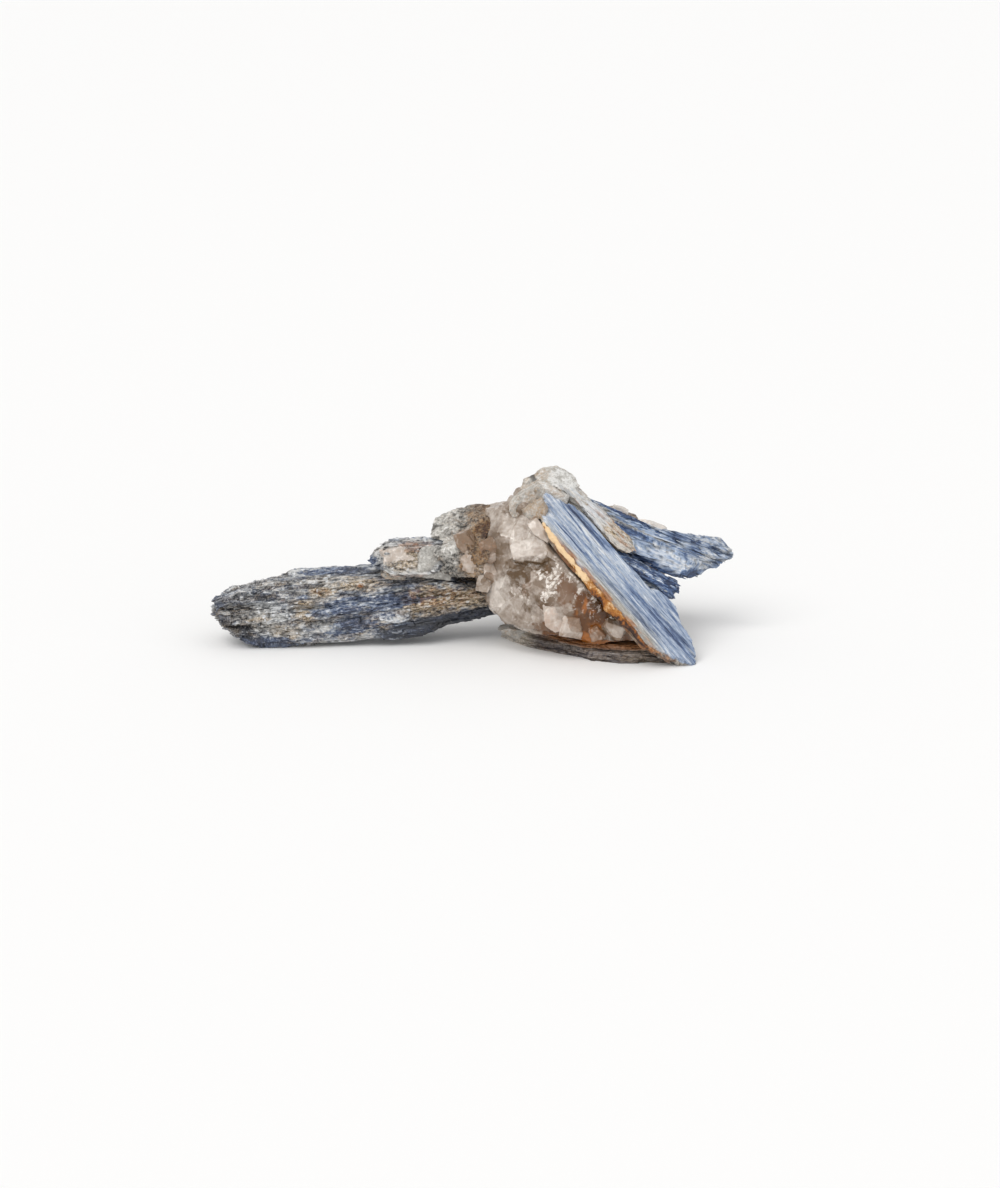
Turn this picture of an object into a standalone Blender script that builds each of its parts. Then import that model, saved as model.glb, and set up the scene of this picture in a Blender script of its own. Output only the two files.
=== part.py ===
"""A kyanite blade cluster: bundles of blue kyanite blades grown through a lump of smoky quartz.

Metres, +Z up. X runs along the long bundle and +Y to the back. The cluster lies on the flat
cleavage face under its base blade. The origin is on that surface, in the middle of the
cluster's outline.

Kyanite grows first, as whole blades. Quartz and the schist matrix fill what is left, so they
are carved back from every blade that they hold.
"""

import math
import random

import bmesh
import bpy
from mathutils import Matrix, Vector

MM = 0.001
GAP = 0.4 * MM  # left between pieces that grew against each other
FLOOR_CLEARANCE = 0.15 * MM  # under every piece but the two that the cluster rests on
SEED = 11

HEX_FLATS = math.cos(math.radians(30))  # across the flats of a hexagon one unit across its points

# The broad sheet on the front: a frame on its face, from its lowest tip.
SHEET_TIP = Vector((44.5, -17.2, 0.0)) * MM
SHEET_FACE = Vector((0.551, -0.451, 0.702)).normalized()  # outward, to the right, front and top
SHEET_UP = Vector((-0.653, 0.290, 0.699)).normalized()  # along its blades
SHEET_THICK = 2.6 * MM

BASE_PLATE = 2.0 * MM  # thickness of each of the two plates of the base blade
BASE_TOP = 3.5 * MM


def mm(*size):
    """A place or a size in millimetres as a vector in metres."""
    return Vector(size) * MM


# ---------------------------------------------------------------- scene and materials


def clear_scene():
    for item in list(bpy.data.objects):
        bpy.data.objects.remove(item)


def collection(name):
    made = bpy.data.collections.new(name)
    bpy.context.scene.collection.children.link(made)
    return made


def mineral(name, colour, roughness):
    """A plain mineral finish: colour is linear red, green and blue."""
    material = bpy.data.materials.new(name)
    material.diffuse_color = (*colour, 1.0)
    material.use_nodes = True
    shader = material.node_tree.nodes["Principled BSDF"]
    shader.inputs["Base Color"].default_value = (*colour, 1.0)
    shader.inputs["Roughness"].default_value = roughness
    shader.inputs["Metallic"].default_value = 0.0
    return material


# ---------------------------------------------------------------- shapes


def link(name, mesh_data, into):
    made = bpy.data.objects.new(name, mesh_data)
    into.objects.link(made)
    return made


def from_bmesh(name, bm, into):
    bmesh.ops.recalc_face_normals(bm, faces=bm.faces)
    data = bpy.data.meshes.new(name)
    bm.to_mesh(data)
    bm.free()
    return link(name, data, into)


def blade(into, start, end, width, thickness, face, slant=0.25, narrowing=0.85):
    """One flat kyanite crystal from start to end: a six-sided prism whose wide side looks
    along face. It narrows towards end, and both its ends are broken off slanting."""
    run = end - start
    bm = bmesh.new()
    bmesh.ops.create_cone(
        bm, cap_ends=True, segments=6, radius1=0.5, radius2=0.5 * narrowing, depth=run.length
    )
    bmesh.ops.scale(bm, vec=(width, thickness / HEX_FLATS, 1.0), verts=bm.verts)
    for vert in bm.verts:
        vert.co.z += slant * vert.co.x
    along = run.normalized()
    out = (face - along * face.dot(along)).normalized()
    turn = Matrix((out.cross(along), out, along)).transposed()
    bm.transform(Matrix.Translation((start + end) / 2) @ turn.to_4x4())
    return from_bmesh("blade", bm, into)


def shard(into, *corners):
    """A broken block with flat faces: the convex hull of its corners, in millimetres."""
    bm = bmesh.new()
    for corner in corners:
        bm.verts.new(mm(*corner))
    hull = bmesh.ops.convex_hull(bm, input=bm.verts)
    loose = [g for g in hull["geom_interior"] if isinstance(g, bmesh.types.BMVert)]
    bmesh.ops.delete(bm, geom=loose, context="VERTS")
    return from_bmesh("shard", bm, into)


def plate(into, low, high, *corners):
    """A flat plate between two heights with this outline, in millimetres, seen from above."""
    outline = bpy.data.curves.new("outline", "CURVE")
    outline.dimensions = "2D"
    outline.fill_mode = "BOTH"
    outline.extrude = (high - low) / 2
    spline = outline.splines.new("POLY")
    spline.points.add(len(corners) - 1)
    for point, (x, y) in zip(spline.points, corners):
        point.co = (x * MM, y * MM, 0.0, 1.0)
    spline.use_cyclic_u = True
    made = link("plate", outline, into)
    made.location.z = (low + high) / 2
    return as_mesh(made, into)


def evaluated_mesh(item):
    bpy.context.view_layer.update()
    graph = bpy.context.evaluated_depsgraph_get()
    return bpy.data.meshes.new_from_object(item.evaluated_get(graph))


def as_mesh(item, into):
    """The object as a mesh object with its modifiers applied, its points in world space and
    its doubles merged. The object itself is removed."""
    bm = bmesh.new()
    bm.from_mesh(evaluated_mesh(item))
    bm.transform(item.matrix_world)
    bmesh.ops.remove_doubles(bm, verts=bm.verts, dist=0.002 * MM)
    name = item.name
    bpy.data.objects.remove(item)
    return from_bmesh(name, bm, into)


def largest_island(bm):
    """Deletes every loose part of the mesh but the one with the most faces."""
    left = set(bm.faces)
    islands = []
    while left:
        reached = [left.pop()]
        island = set()
        while reached:
            face = reached.pop()
            island.add(face)
            near = {other for edge in face.edges for other in edge.link_faces} & left
            left -= near
            reached.extend(near)
        islands.append(island)
    islands.sort(key=len)
    scraps = [face for island in islands[:-1] for face in island]
    bmesh.ops.delete(bm, geom=scraps, context="FACES")


def grown(item, by, into):
    """A copy of a solid, larger by this much on every side."""
    bm = bmesh.new()
    bm.from_mesh(evaluated_mesh(item))
    bmesh.ops.triangulate(bm, faces=bm.faces)
    bm.normal_update()
    for vert in bm.verts:
        vert.co += vert.normal * by * min(vert.calc_shell_factor(), 1.6)
    return from_bmesh("grown", bm, into)


def closed_body(data):
    """The largest loose part of the mesh, its slivers merged away by the first distance
    that leaves every edge between two faces."""
    for microns in (4, 2, 8, 1, 12):
        bm = bmesh.new()
        bm.from_mesh(data)
        bmesh.ops.remove_doubles(bm, verts=bm.verts, dist=microns * 0.001 * MM)
        bmesh.ops.dissolve_degenerate(bm, edges=bm.edges, dist=microns * 0.001 * MM)
        largest_island(bm)
        if all(edge.is_manifold for edge in bm.edges):
            return bm
        bm.free()
    raise ValueError("the joined body has open or doubled edges")


def combine(name, first, others, operation, parts):
    """first joined with the others, or cut by them, as one closed body named name."""
    operands = collection("operands")
    for other in others:
        for owner in other.users_collection:
            owner.objects.unlink(other)
        operands.objects.link(other)
    boolean = first.modifiers.new(operation, "BOOLEAN")
    boolean.operation = operation
    boolean.solver = "EXACT"
    boolean.use_self = operation == "DIFFERENCE"
    boolean.operand_type = "COLLECTION"
    boolean.collection = operands
    bm = closed_body(evaluated_mesh(first))
    for item in [first, *operands.objects]:
        bpy.data.objects.remove(item)
    bpy.data.collections.remove(operands)
    return from_bmesh(name, bm, parts)


def fused(name, pieces, material, parts):
    made = combine(name, pieces[0], pieces[1:], "UNION", parts)
    made.data.materials.append(material)
    return made


def carved(item, holders, parts, by=GAP):
    """The item with room left around each of the solids in holders."""
    material = item.data.materials[0]
    scraps = collection("scraps")
    cutters = [grown(holder, by, scraps) for holder in holders]
    made = combine(item.name, item, cutters, "DIFFERENCE", parts)
    bpy.data.collections.remove(scraps)
    made.data.materials.append(material)
    return made


def trimmed(item, point, outward):
    """Cuts off what lies beyond a plane and closes the cut with a flat face."""
    bm = bmesh.new()
    bm.from_mesh(item.data)
    cut = bmesh.ops.bisect_plane(
        bm,
        geom=[*bm.verts, *bm.edges, *bm.faces],
        dist=0.001 * MM,
        plane_co=point,
        plane_no=outward,
        clear_outer=True,
    )
    rim = [g for g in cut["geom_cut"] if isinstance(g, bmesh.types.BMEdge)]
    bmesh.ops.edgenet_fill(bm, edges=rim)
    bmesh.ops.recalc_face_normals(bm, faces=bm.faces)
    bm.to_mesh(item.data)
    bm.free()
    return item


# ---------------------------------------------------------------- bundles of blades

FRONT = Vector((0.0, -1.0, 0.12))
TOP = Vector((0.0, 0.05, 1.0))
BACK = Vector((0.0, 1.0, 0.1))
UNDER = Vector((0.0, -0.1, -1.0))


def course(into, face, rows, chance):
    """Blades side by side with their wide sides along one face, each rolled a little at
    random about its length and broken off at its own slant. A row is a blade's free end,
    its buried end, then its width and its thickness, all in millimetres."""
    blades = []
    for free, buried, width, thickness in rows:
        run = (mm(*free) - mm(*buried)).normalized()
        roll = Matrix.Rotation(math.radians(chance.uniform(-12, 12)), 3, run)
        slant = chance.uniform(-0.55, 0.55)
        size = (width * MM, thickness * MM)
        blades.append(blade(into, mm(*buried), mm(*free), *size, roll @ face, slant))
    return blades


def long_bundle(parts, scraps, material, chance):
    """The long bundle on the left. Its blades fan out to the free end, where each stops at
    its own length, and thin plates lie on them in ledges."""
    core = (
        ((-48.0, -0.6, 7.0), (9.0, 5.4, 9.2), 9.6, 9.4),
        ((-44.0, 2.2, 8.2), (8.0, 6.4, 9.4), 8.0, 8.6),
    )
    front = (
        ((-47.4, -3.2, 11.4), (-2.0, -1.2, 12.6), 3.6, 4.0),
        ((-53.4, -3.2, 8.2), (4.0, 1.0, 10.4), 4.0, 4.6),
        ((-53.2, -3.6, 5.6), (5.0, 1.4, 8.8), 4.4, 4.6),
        ((-50.6, -3.8, 2.8), (6.0, 2.2, 7.6), 4.8, 4.4),
        ((-43.2, -5.2, 12.2), (-25.0, -4.6, 12.9), 2.4, 1.8),
        ((-50.6, -4.8, 9.8), (-33.0, -5.0, 10.8), 2.4, 2.4),
        ((-40.0, -5.4, 9.6), (-11.5, -3.4, 11.0), 2.8, 1.8),
        ((-52.4, -5.2, 6.6), (-38.0, -5.9, 8.2), 2.4, 2.2),
        ((-46.4, -6.0, 5.4), (-21.0, -5.0, 8.4), 2.8, 2.2),
        ((-30.0, -5.0, 6.4), (-5.0, -2.2, 9.6), 3.0, 2.0),
        ((-50.8, -5.2, 3.4), (-34.0, -5.8, 4.8), 2.4, 2.2),
        ((-48.6, -5.0, 1.7), (-31.0, -4.8, 2.3), 3.2, 2.2),
        ((-40.6, -5.6, 2.8), (-13.0, -3.8, 6.6), 3.0, 2.2),
        ((-25.0, -4.4, 3.8), (0.5, -0.4, 7.4), 3.2, 2.4),
        ((-19.0, -3.6, 12.6), (-6.0, -2.8, 12.9), 2.4, 2.0),
    )
    top = (
        ((-52.2, -0.8, 9.1), (-20.0, 0.4, 11.2), 4.0, 2.8),
        ((-49.0, 1.0, 10.5), (-12.0, 2.0, 11.6), 4.0, 2.6),
        ((-42.6, -2.2, 12.6), (-4.0, -0.6, 13.1), 4.2, 3.0),
        ((-45.8, 1.0, 11.4), (-2.0, 2.6, 12.2), 4.6, 3.4),
        ((-40.0, 3.6, 12.4), (-3.0, 5.2, 12.9), 4.2, 3.4),
        ((-39.0, 4.6, 13.4), (-20.5, 5.8, 13.7), 3.0, 2.2),
        ((-32.0, 1.6, 13.2), (-16.0, 2.4, 13.4), 3.0, 1.8),
        ((-25.6, 4.8, 14.2), (-12.0, 5.4, 14.0), 3.4, 2.0),
    )
    back = (
        ((-51.0, 2.6, 9.0), (6.0, 7.4, 10.2), 4.4, 4.4),
        ((-49.0, 3.4, 5.6), (8.0, 8.0, 9.0), 4.6, 4.6),
        ((-44.6, 5.2, 11.0), (-6.0, 7.6, 12.0), 3.2, 3.0),
        ((-45.6, 5.6, 6.8), (-10.0, 8.4, 8.8), 3.6, 2.6),
        ((-39.0, 5.2, 3.4), (-8.0, 7.6, 6.4), 3.8, 2.6),
    )
    under = (
        ((-47.8, -3.8, 1.3), (-8.0, -2.2, 4.4), 4.6, 4.0),
        ((-46.6, 1.6, 1.7), (-3.0, 3.6, 6.2), 5.2, 4.0),
        ((-40.0, -4.2, 1.5), (-12.0, -2.8, 3.2), 3.0, 3.4),
        ((-31.0, -1.6, 2.0), (2.0, 0.6, 6.6), 4.6, 3.6),
    )
    blades = []
    for face, rows in ((FRONT, core + front), (TOP, top), (BACK, back), (UNDER, under)):
        blades += course(scraps, face, rows, chance)
    made = fused("long_blade_bundle", blades, material, parts)
    return trimmed(made, Vector(), Vector((0, 0, -1)))


def short_bundle(parts, scraps, material, chance):
    """Short blades that lie on the long bundle, with broken ends on the left."""
    front = (
        ((-21.4, -2.4, 17.6), (-4.0, -2.0, 18.4), 4.0, 4.0),
        ((-18.6, -4.2, 16.8), (-5.0, -4.4, 17.6), 3.4, 2.8),
        ((-19.8, -3.4, 19.6), (-6.0, -3.0, 20.2), 2.2, 2.8),
    )
    top = (
        ((-20.2, -1.2, 19.9), (-3.0, -0.6, 20.4), 3.2, 2.4),
        ((-19.2, 1.8, 20.2), (-2.0, 2.4, 20.9), 3.4, 2.2),
        ((-21.8, 1.4, 17.0), (-2.0, 2.0, 18.2), 5.4, 4.4),
        ((-21.0, 4.8, 18.0), (-1.0, 5.6, 19.0), 4.6, 4.0),
        ((-20.6, -5.0, 15.4), (-8.4, -4.8, 15.6), 3.4, 1.2),
    )
    blades = course(scraps, FRONT, front, chance) + course(scraps, TOP, top, chance)
    return fused("short_blade_bundle", blades, material, parts)


def sheet_point(across, up, lift=0.0):
    """A place on the front sheet, in millimetres from its lowest tip."""
    across_way = SHEET_UP.cross(SHEET_FACE).normalized()
    return SHEET_TIP + (across_way * across + SHEET_UP * up + SHEET_FACE * lift) * MM


def back_of_sheet():
    """A place just behind the sheet's lowest face, where the pieces under it stop."""
    return sheet_point(0.0, 0.0, -SHEET_THICK / MM - 0.9)


def front_sheet(parts, scraps, material):
    """The broad sheet over the quartz: blades side by side, each a little higher or lower
    than the next, with broken ends at the bottom and on the right."""
    # middle of its width from the tip, bottom, top, width and lift of its face in mm
    strips = (
        (-5.2, 7.0, 41.8, 2.6, -0.3),
        (-3.3, 3.6, 42.8, 2.8, 0.0),
        (-1.2, 1.2, 43.4, 2.8, -0.35),
        (0.9, 0.2, 46.8, 3.0, 0.25),
        (3.0, 2.0, 46.4, 2.8, -0.15),
        (5.0, 3.8, 22.4, 2.8, -0.45),
        (5.2, 27.0, 45.6, 3.0, -0.3),
        (7.2, 8.2, 19.4, 3.2, -0.7),
    )
    blades = []
    for across, bottom, top, width, lift in strips:
        middle = lift - SHEET_THICK / MM / 2
        blades.append(
            blade(
                scraps,
                sheet_point(across, top, middle),
                sheet_point(across, bottom, middle),
                width * MM,
                SHEET_THICK,
                SHEET_FACE,
                slant=0.5,
                narrowing=0.95,
            )
        )
    made = fused("front_blade_sheet", blades, material, parts)
    return trimmed(made, Vector((0, 0, FLOOR_CLEARANCE)), Vector((0, 0, -1)))


def rear_bundle(parts, scraps, material, chance):
    """The bundle that sticks out on the right behind the sheet. It starts as narrow blades
    under the crown and opens out to a broad broken end."""
    core = (
        ((49.4, 9.6, 15.8), (22.4, 6.0, 27.0), 5.6, 5.6),
        ((47.6, 12.2, 15.8), (24.0, 8.8, 23.8), 3.8, 4.4),
    )
    narrow = (
        ((40.6, 9.4, 18.2), (21.4, 5.4, 28.6), 2.4, 2.4),
        ((39.6, 7.4, 18.0), (21.8, 3.8, 28.2), 2.4, 2.4),
        ((42.6, 6.4, 15.8), (23.6, 3.0, 26.4), 2.8, 2.4),
    )
    broad = (
        ((44.8, 5.6, 14.0), (27.6, 2.6, 24.0), 3.4, 2.8),
        ((43.0, 4.4, 12.8), (28.4, 1.6, 21.2), 3.4, 2.8),
    )
    end = (
        ((51.4, 11.6, 17.9), (31.0, 8.6, 19.6), 4.2, 3.4),
        ((53.0, 10.8, 16.7), (31.0, 7.8, 19.8), 4.0, 3.4),
        ((51.4, 9.6, 14.6), (31.0, 6.8, 19.8), 4.0, 3.4),
        ((48.4, 8.4, 13.2), (31.0, 5.8, 19.0), 3.8, 3.0),
        ((45.4, 6.8, 12.2), (31.0, 4.8, 18.2), 3.6, 2.8),
    )
    face = Vector((0.25, -0.62, 0.74))
    blades = course(scraps, face, core + narrow + broad + end, chance)
    return fused("rear_blade_bundle", blades, material, parts)


def middle_blades(parts, scraps, material, chance):
    """Narrow dark blades between the sheet and the rear bundle."""
    rows = (
        ((42.0, -2.4, 11.4), (25.0, -2.8, 20.6), 2.8, 2.2),
        ((42.6, -0.8, 11.2), (26.5, -0.6, 19.6), 3.0, 2.2),
        ((42.0, -3.6, 10.0), (27.0, -4.0, 18.2), 2.8, 2.2),
        ((40.6, -4.6, 9.4), (29.0, -5.2, 16.0), 2.4, 2.0),
        ((41.8, 1.6, 11.2), (27.5, 1.2, 18.0), 3.4, 2.4),
    )
    blades = course(scraps, Vector((0.35, -0.45, 0.8)), rows, chance)
    return fused("middle_blades", blades, material, parts)


def base_blade(parts, scraps, material):
    """The flat blade under the quartz: two cleavage plates, one stepped back on the other."""
    lower = plate(
        scraps,
        0.0,
        BASE_PLATE,
        (5.1, 3.4),
        (11.0, -4.2),
        (17.2, -8.8),
        (23.0, -13.8),
        (29.0, -16.0),
        (41.0, -15.8),
        (44.6, -8.0),
        (42.0, 6.0),
        (36.0, 14.5),
        (20.0, 16.0),
        (9.0, 12.0),
    )
    upper = plate(
        scraps,
        BASE_PLATE * 0.8,
        BASE_TOP,
        (5.9, 4.2),
        (6.4, 0.6),
        (14.0, -5.4),
        (21.0, -12.0),
        (30.0, -15.2),
        (40.2, -15.0),
        (42.6, -6.0),
        (38.0, 10.0),
        (18.0, 14.6),
        (8.4, 10.0),
    )
    made = fused("base_blade", [lower, upper], material, parts)
    return trimmed(made, back_of_sheet(), SHEET_FACE)


# ---------------------------------------------------------------- fillings


def quartz_mass(parts, scraps, material):
    """The quartz lump: a main body broken in flat faces, with a block standing out high on
    its front, a lobe on the left, knobs low on the right and a spur behind the rear bundle."""
    body = shard(
        scraps,
        (2.3, -5.0, 22.8),
        (2.1, -6.0, 11.1),
        (4.9, -9.0, 7.9),
        (8.0, -9.4, 4.4),
        (5.1, -8.0, 22.5),
        (6.5, -12.0, 12.1),
        (9.2, 2.0, 31.0),
        (13.4, -3.0, 32.6),
        (8.9, -7.0, 27.0),
        (13.6, -8.6, 27.6),
        (17.1, -14.5, 4.4),
        (25.1, -16.0, 4.0),
        (36.0, -17.0, 4.2),
        (17.1, -15.6, 13.3),
        (26.0, -17.4, 12.0),
        (30.0, -8.0, 20.0),
        (18.0, 6.0, 31.0),
        (6.0, 12.0, 25.0),
        (22.0, 17.0, 23.0),
        (38.0, 13.0, 10.0),
        (7.0, 11.0, 6.0),
        (40.0, 2.0, 4.0),
        (38.0, 12.0, 4.0),
        (16.0, 14.0, 4.0),
    )
    block = shard(
        scraps,
        (8.9, -8.6, 28.6),
        (13.6, -9.8, 28.6),
        (15.0, -11.8, 26.0),
        (14.0, -13.6, 20.6),
        (7.4, -12.0, 20.2),
        (6.8, -10.4, 23.2),
        (9.0, -4.0, 30.0),
        (16.0, -4.0, 24.0),
        (9.0, -4.0, 20.0),
    )
    lobe = shard(
        scraps,
        (1.8, -1.0, 27.4),
        (2.8, 4.0, 27.8),
        (6.0, 2.0, 29.6),
        (9.4, -2.6, 31.0),
        (6.2, -6.4, 26.0),
        (4.0, -5.4, 24.4),
        (8.0, -7.0, 24.0),
        (8.0, 6.0, 24.0),
        (10.0, 3.0, 30.0),
    )
    knob = shard(
        scraps,
        (27.6, -17.6, 9.4),
        (30.6, -18.6, 8.6),
        (32.4, -18.2, 5.4),
        (30.0, -17.8, 4.2),
        (26.8, -16.8, 5.4),
        (27.4, -12.0, 5.4),
        (31.4, -12.0, 8.0),
    )
    spur = shard(
        scraps,
        (28.2, 9.0, 25.4),
        (30.4, 12.2, 26.2),
        (34.4, 12.4, 23.2),
        (40.6, 12.4, 20.3),
        (41.6, 16.0, 16.0),
        (24.0, 18.0, 24.0),
        (30.0, 21.2, 14.0),
        (22.0, 8.0, 12.0),
        (38.0, 8.0, 10.0),
    )
    made = fused("quartz_mass", [body, block, lobe, knob, spur], material, parts)
    return trimmed(made, back_of_sheet(), SHEET_FACE)


def matrix_rock(parts, scraps, material):
    """Weathered mica schist and quartz that ties the two blade bundles to the quartz."""
    head = shard(
        scraps,
        (-9.0, 1.6, 21.6),
        (-8.5, 3.6, 24.2),
        (-4.6, 5.4, 26.2),
        (-1.0, 8.0, 26.6),
        (3.4, 5.0, 27.8),
        (4.0, -2.0, 25.6),
        (-5.4, -4.0, 21.0),
        (1.0, -6.4, 22.0),
        (-5.0, 10.0, 20.0),
        (4.0, 12.0, 24.0),
        (4.0, 11.0, 16.0),
        (-6.0, 1.0, 16.6),
    )
    face = shard(
        scraps,
        (-8.6, -5.2, 20.6),
        (-7.0, -6.4, 16.2),
        (-2.0, -7.0, 15.6),
        (1.6, -7.4, 16.0),
        (3.0, -8.0, 21.6),
        (-3.0, -6.6, 22.8),
        (-6.0, 4.0, 16.0),
        (3.0, 4.0, 16.0),
        (0.0, 2.0, 24.0),
    )
    root = shard(
        scraps,
        (0.6, -6.6, 12.8),
        (1.0, -7.2, 17.0),
        (5.0, -7.6, 20.0),
        (5.0, -7.0, 12.0),
        (2.4, -7.4, 11.8),
        (1.0, 0.0, 15.8),
        (5.0, 1.0, 12.6),
        (4.0, 4.0, 22.0),
    )
    return fused("matrix_rock", [head, face, root], material, parts)


def crown_seam(parts, scraps, material):
    """The crust on top of the quartz, and the tan seam that runs down from it between the
    front sheet and the rear bundle."""
    cap = shard(
        scraps,
        (9.2, 3.0, 31.6),
        (10.2, 5.0, 33.2),
        (14.3, 5.0, 35.2),
        (16.6, 6.0, 35.6),
        (18.6, 6.0, 35.0),
        (21.2, 3.6, 32.0),
        (12.4, -2.2, 32.6),
        (15.6, -2.8, 32.2),
        (19.0, 0.6, 31.6),
        (19.0, 12.0, 30.0),
        (11.0, 11.0, 30.0),
        (15.0, 2.0, 29.0),
    )
    seam = shard(
        scraps,
        (17.6, 1.2, 33.0),
        (20.6, 0.8, 30.2),
        (25.6, -1.9, 24.4),
        (29.6, -3.8, 20.2),
        (33.4, -1.6, 18.6),
        (30.8, 0.6, 23.2),
        (25.0, 3.0, 28.2),
        (21.0, 5.0, 31.6),
        (20.0, 4.0, 27.0),
        (30.0, 1.6, 18.4),
    )
    return fused("crown_seam", [cap, seam], material, parts)


def iron_rim(parts, scraps, material):
    """The rusty crust along the sheet's left edge, where water ran between it and the quartz."""
    # where it runs: distance across the sheet and up it, then its width and thickness, in mm
    line = (
        (-6.5, 41.2, 1.5, 1.7),
        (-6.9, 35.0, 1.6, 1.9),
        (-7.3, 28.0, 1.9, 2.1),
        (-7.7, 22.6, 2.2, 2.2),
        (-7.2, 16.6, 2.0, 2.2),
        (-7.0, 11.0, 1.8, 2.0),
        (-6.4, 6.6, 1.5, 1.6),
    )
    pieces = []
    for number, (upper, lower) in enumerate(zip(line, line[1:])):
        overlap = 0.5
        size = (upper[2] * MM, upper[3] * MM)
        pieces.append(
            blade(
                scraps,
                sheet_point(upper[0], upper[1] + overlap, -0.9),
                sheet_point(lower[0], lower[1] - overlap, -0.9),
                *size,
                SHEET_FACE,
                slant=0.3 * (-1) ** number,
                narrowing=lower[2] / upper[2],
            )
        )
    return fused("iron_rim", pieces, material, parts)


# ---------------------------------------------------------------- the cluster


def build():
    clear_scene()
    parts = collection("kyanite_blade_cluster")
    scraps = collection("scraps_for_joining")
    chance = random.Random(SEED)

    dark = mineral("dark_kyanite", (0.11, 0.13, 0.19), 0.45)
    pale = mineral("pale_kyanite", (0.30, 0.38, 0.50), 0.35)
    smoky = mineral("smoky_quartz", (0.52, 0.47, 0.41), 0.2)
    schist = mineral("mica_schist", (0.36, 0.33, 0.28), 0.7)
    rust = mineral("iron_stain", (0.45, 0.22, 0.07), 0.8)

    long_blades = long_bundle(parts, scraps, dark, chance)
    sheet = front_sheet(parts, scraps, pale)
    base = base_blade(parts, scraps, dark)
    rear = rear_bundle(parts, scraps, pale, chance)
    middle = carved(middle_blades(parts, scraps, dark, chance), [sheet, rear], parts)
    short = carved(short_bundle(parts, scraps, dark, chance), [long_blades], parts)
    rim = iron_rim(parts, scraps, rust)
    quartz = quartz_mass(parts, scraps, smoky)
    crown = crown_seam(parts, scraps, schist)
    matrix = matrix_rock(parts, scraps, schist)
    # The fillings leave room for the blades, and the harder ones for the softer ones.
    carved(matrix, [long_blades, short, quartz, crown], parts)
    carved(quartz, [long_blades, sheet, base, rear, middle, crown, rim], parts)
    carved(crown, [sheet, rear, middle], parts)
    carved(rim, [sheet], parts)
    bpy.data.collections.remove(scraps)


build()
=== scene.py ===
"""A kyanite blade cluster: the finish of its blades, quartz, schist and iron crust.

Lengths in the tables and arrays are in millimetres, and become metres when a mesh is written.
"""

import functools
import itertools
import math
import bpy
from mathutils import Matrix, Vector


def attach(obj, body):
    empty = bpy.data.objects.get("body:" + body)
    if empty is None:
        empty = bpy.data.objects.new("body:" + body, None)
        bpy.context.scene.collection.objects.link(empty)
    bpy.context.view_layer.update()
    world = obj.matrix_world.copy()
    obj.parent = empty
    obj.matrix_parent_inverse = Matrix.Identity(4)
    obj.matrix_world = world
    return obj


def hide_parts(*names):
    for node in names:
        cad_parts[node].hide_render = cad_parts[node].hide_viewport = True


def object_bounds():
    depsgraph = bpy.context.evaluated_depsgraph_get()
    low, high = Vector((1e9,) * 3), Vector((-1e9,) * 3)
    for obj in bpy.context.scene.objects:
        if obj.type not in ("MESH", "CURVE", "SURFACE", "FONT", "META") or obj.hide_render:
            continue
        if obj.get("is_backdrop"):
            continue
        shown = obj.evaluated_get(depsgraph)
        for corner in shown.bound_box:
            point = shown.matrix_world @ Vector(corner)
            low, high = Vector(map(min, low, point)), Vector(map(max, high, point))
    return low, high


bl_info = {
    "name": "Kyanite Blade Cluster",
    "version": (1, 0, 0),
    "blender": (4, 5, 0),
    "location": "View3D > Sidebar > Kyanite",
    "description": "Grows the surfaces of a kyanite and quartz specimen over its solids",
    "category": "Add Mesh",
}

import bpy
import numpy as np
from bpy.props import FloatProperty, FloatVectorProperty, IntProperty, PointerProperty
from mathutils import Matrix

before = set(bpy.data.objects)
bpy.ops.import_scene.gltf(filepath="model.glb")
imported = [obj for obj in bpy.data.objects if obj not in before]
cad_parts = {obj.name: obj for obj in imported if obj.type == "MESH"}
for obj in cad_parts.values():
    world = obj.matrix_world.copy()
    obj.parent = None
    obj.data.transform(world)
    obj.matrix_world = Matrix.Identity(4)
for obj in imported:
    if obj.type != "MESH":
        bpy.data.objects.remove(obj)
cad_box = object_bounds()

MM = 0.001
Z = np.array((0.0, 0.0, 1.0))
VIEW_TILT = math.radians(15.0)  # how far the front view looks down
BUNDLE_QUADS = 98_000  # in a bundle and its splinters
SPLINTER_QUADS, SPLINTER_CORNERS = 14, 16


def unit(way):
    """A direction at length 1."""
    return np.array(way) / np.linalg.norm(way)


# The front sheet's own axes: from its lowest tip across it, up it and out of it.
SHEET_TIP = np.array((44.5, -17.2, 0.0))
SHEET_OUT = unit((0.551, -0.451, 0.702))
SHEET_UP = unit((-0.653, 0.290, 0.699))
SHEET_ACROSS = np.cross(SHEET_UP, SHEET_OUT)


def linear(hex_colour):
    """An sRGB hex colour as linear red, green and blue."""
    parts = [int(hex_colour[i : i + 2], 16) / 255 for i in (1, 3, 5)]
    return tuple(c / 12.92 if c <= 0.04045 else ((c + 0.055) / 1.055) ** 2.4 for c in parts)


# ------------------------------------------------------------------ sizes and colours


def size(name, millimetres, description):
    """A length that the user can change."""
    return FloatProperty(
        name=name,
        description=description,
        default=millimetres * MM,
        min=0.0,
        unit="LENGTH",
        subtype="DISTANCE",
        precision=5,
    )


def share(name, default, description):
    """A share from 0 to 1 that the user can change."""
    return FloatProperty(
        name=name, description=description, default=default, min=0.0, max=1.0, subtype="FACTOR"
    )


def colour(name, hex_colour, description):
    """A colour that the user can change."""
    return FloatVectorProperty(
        name=name,
        description=description,
        default=linear(hex_colour),
        min=0.0,
        max=1.0,
        size=3,
        subtype="COLOR",
    )


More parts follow.
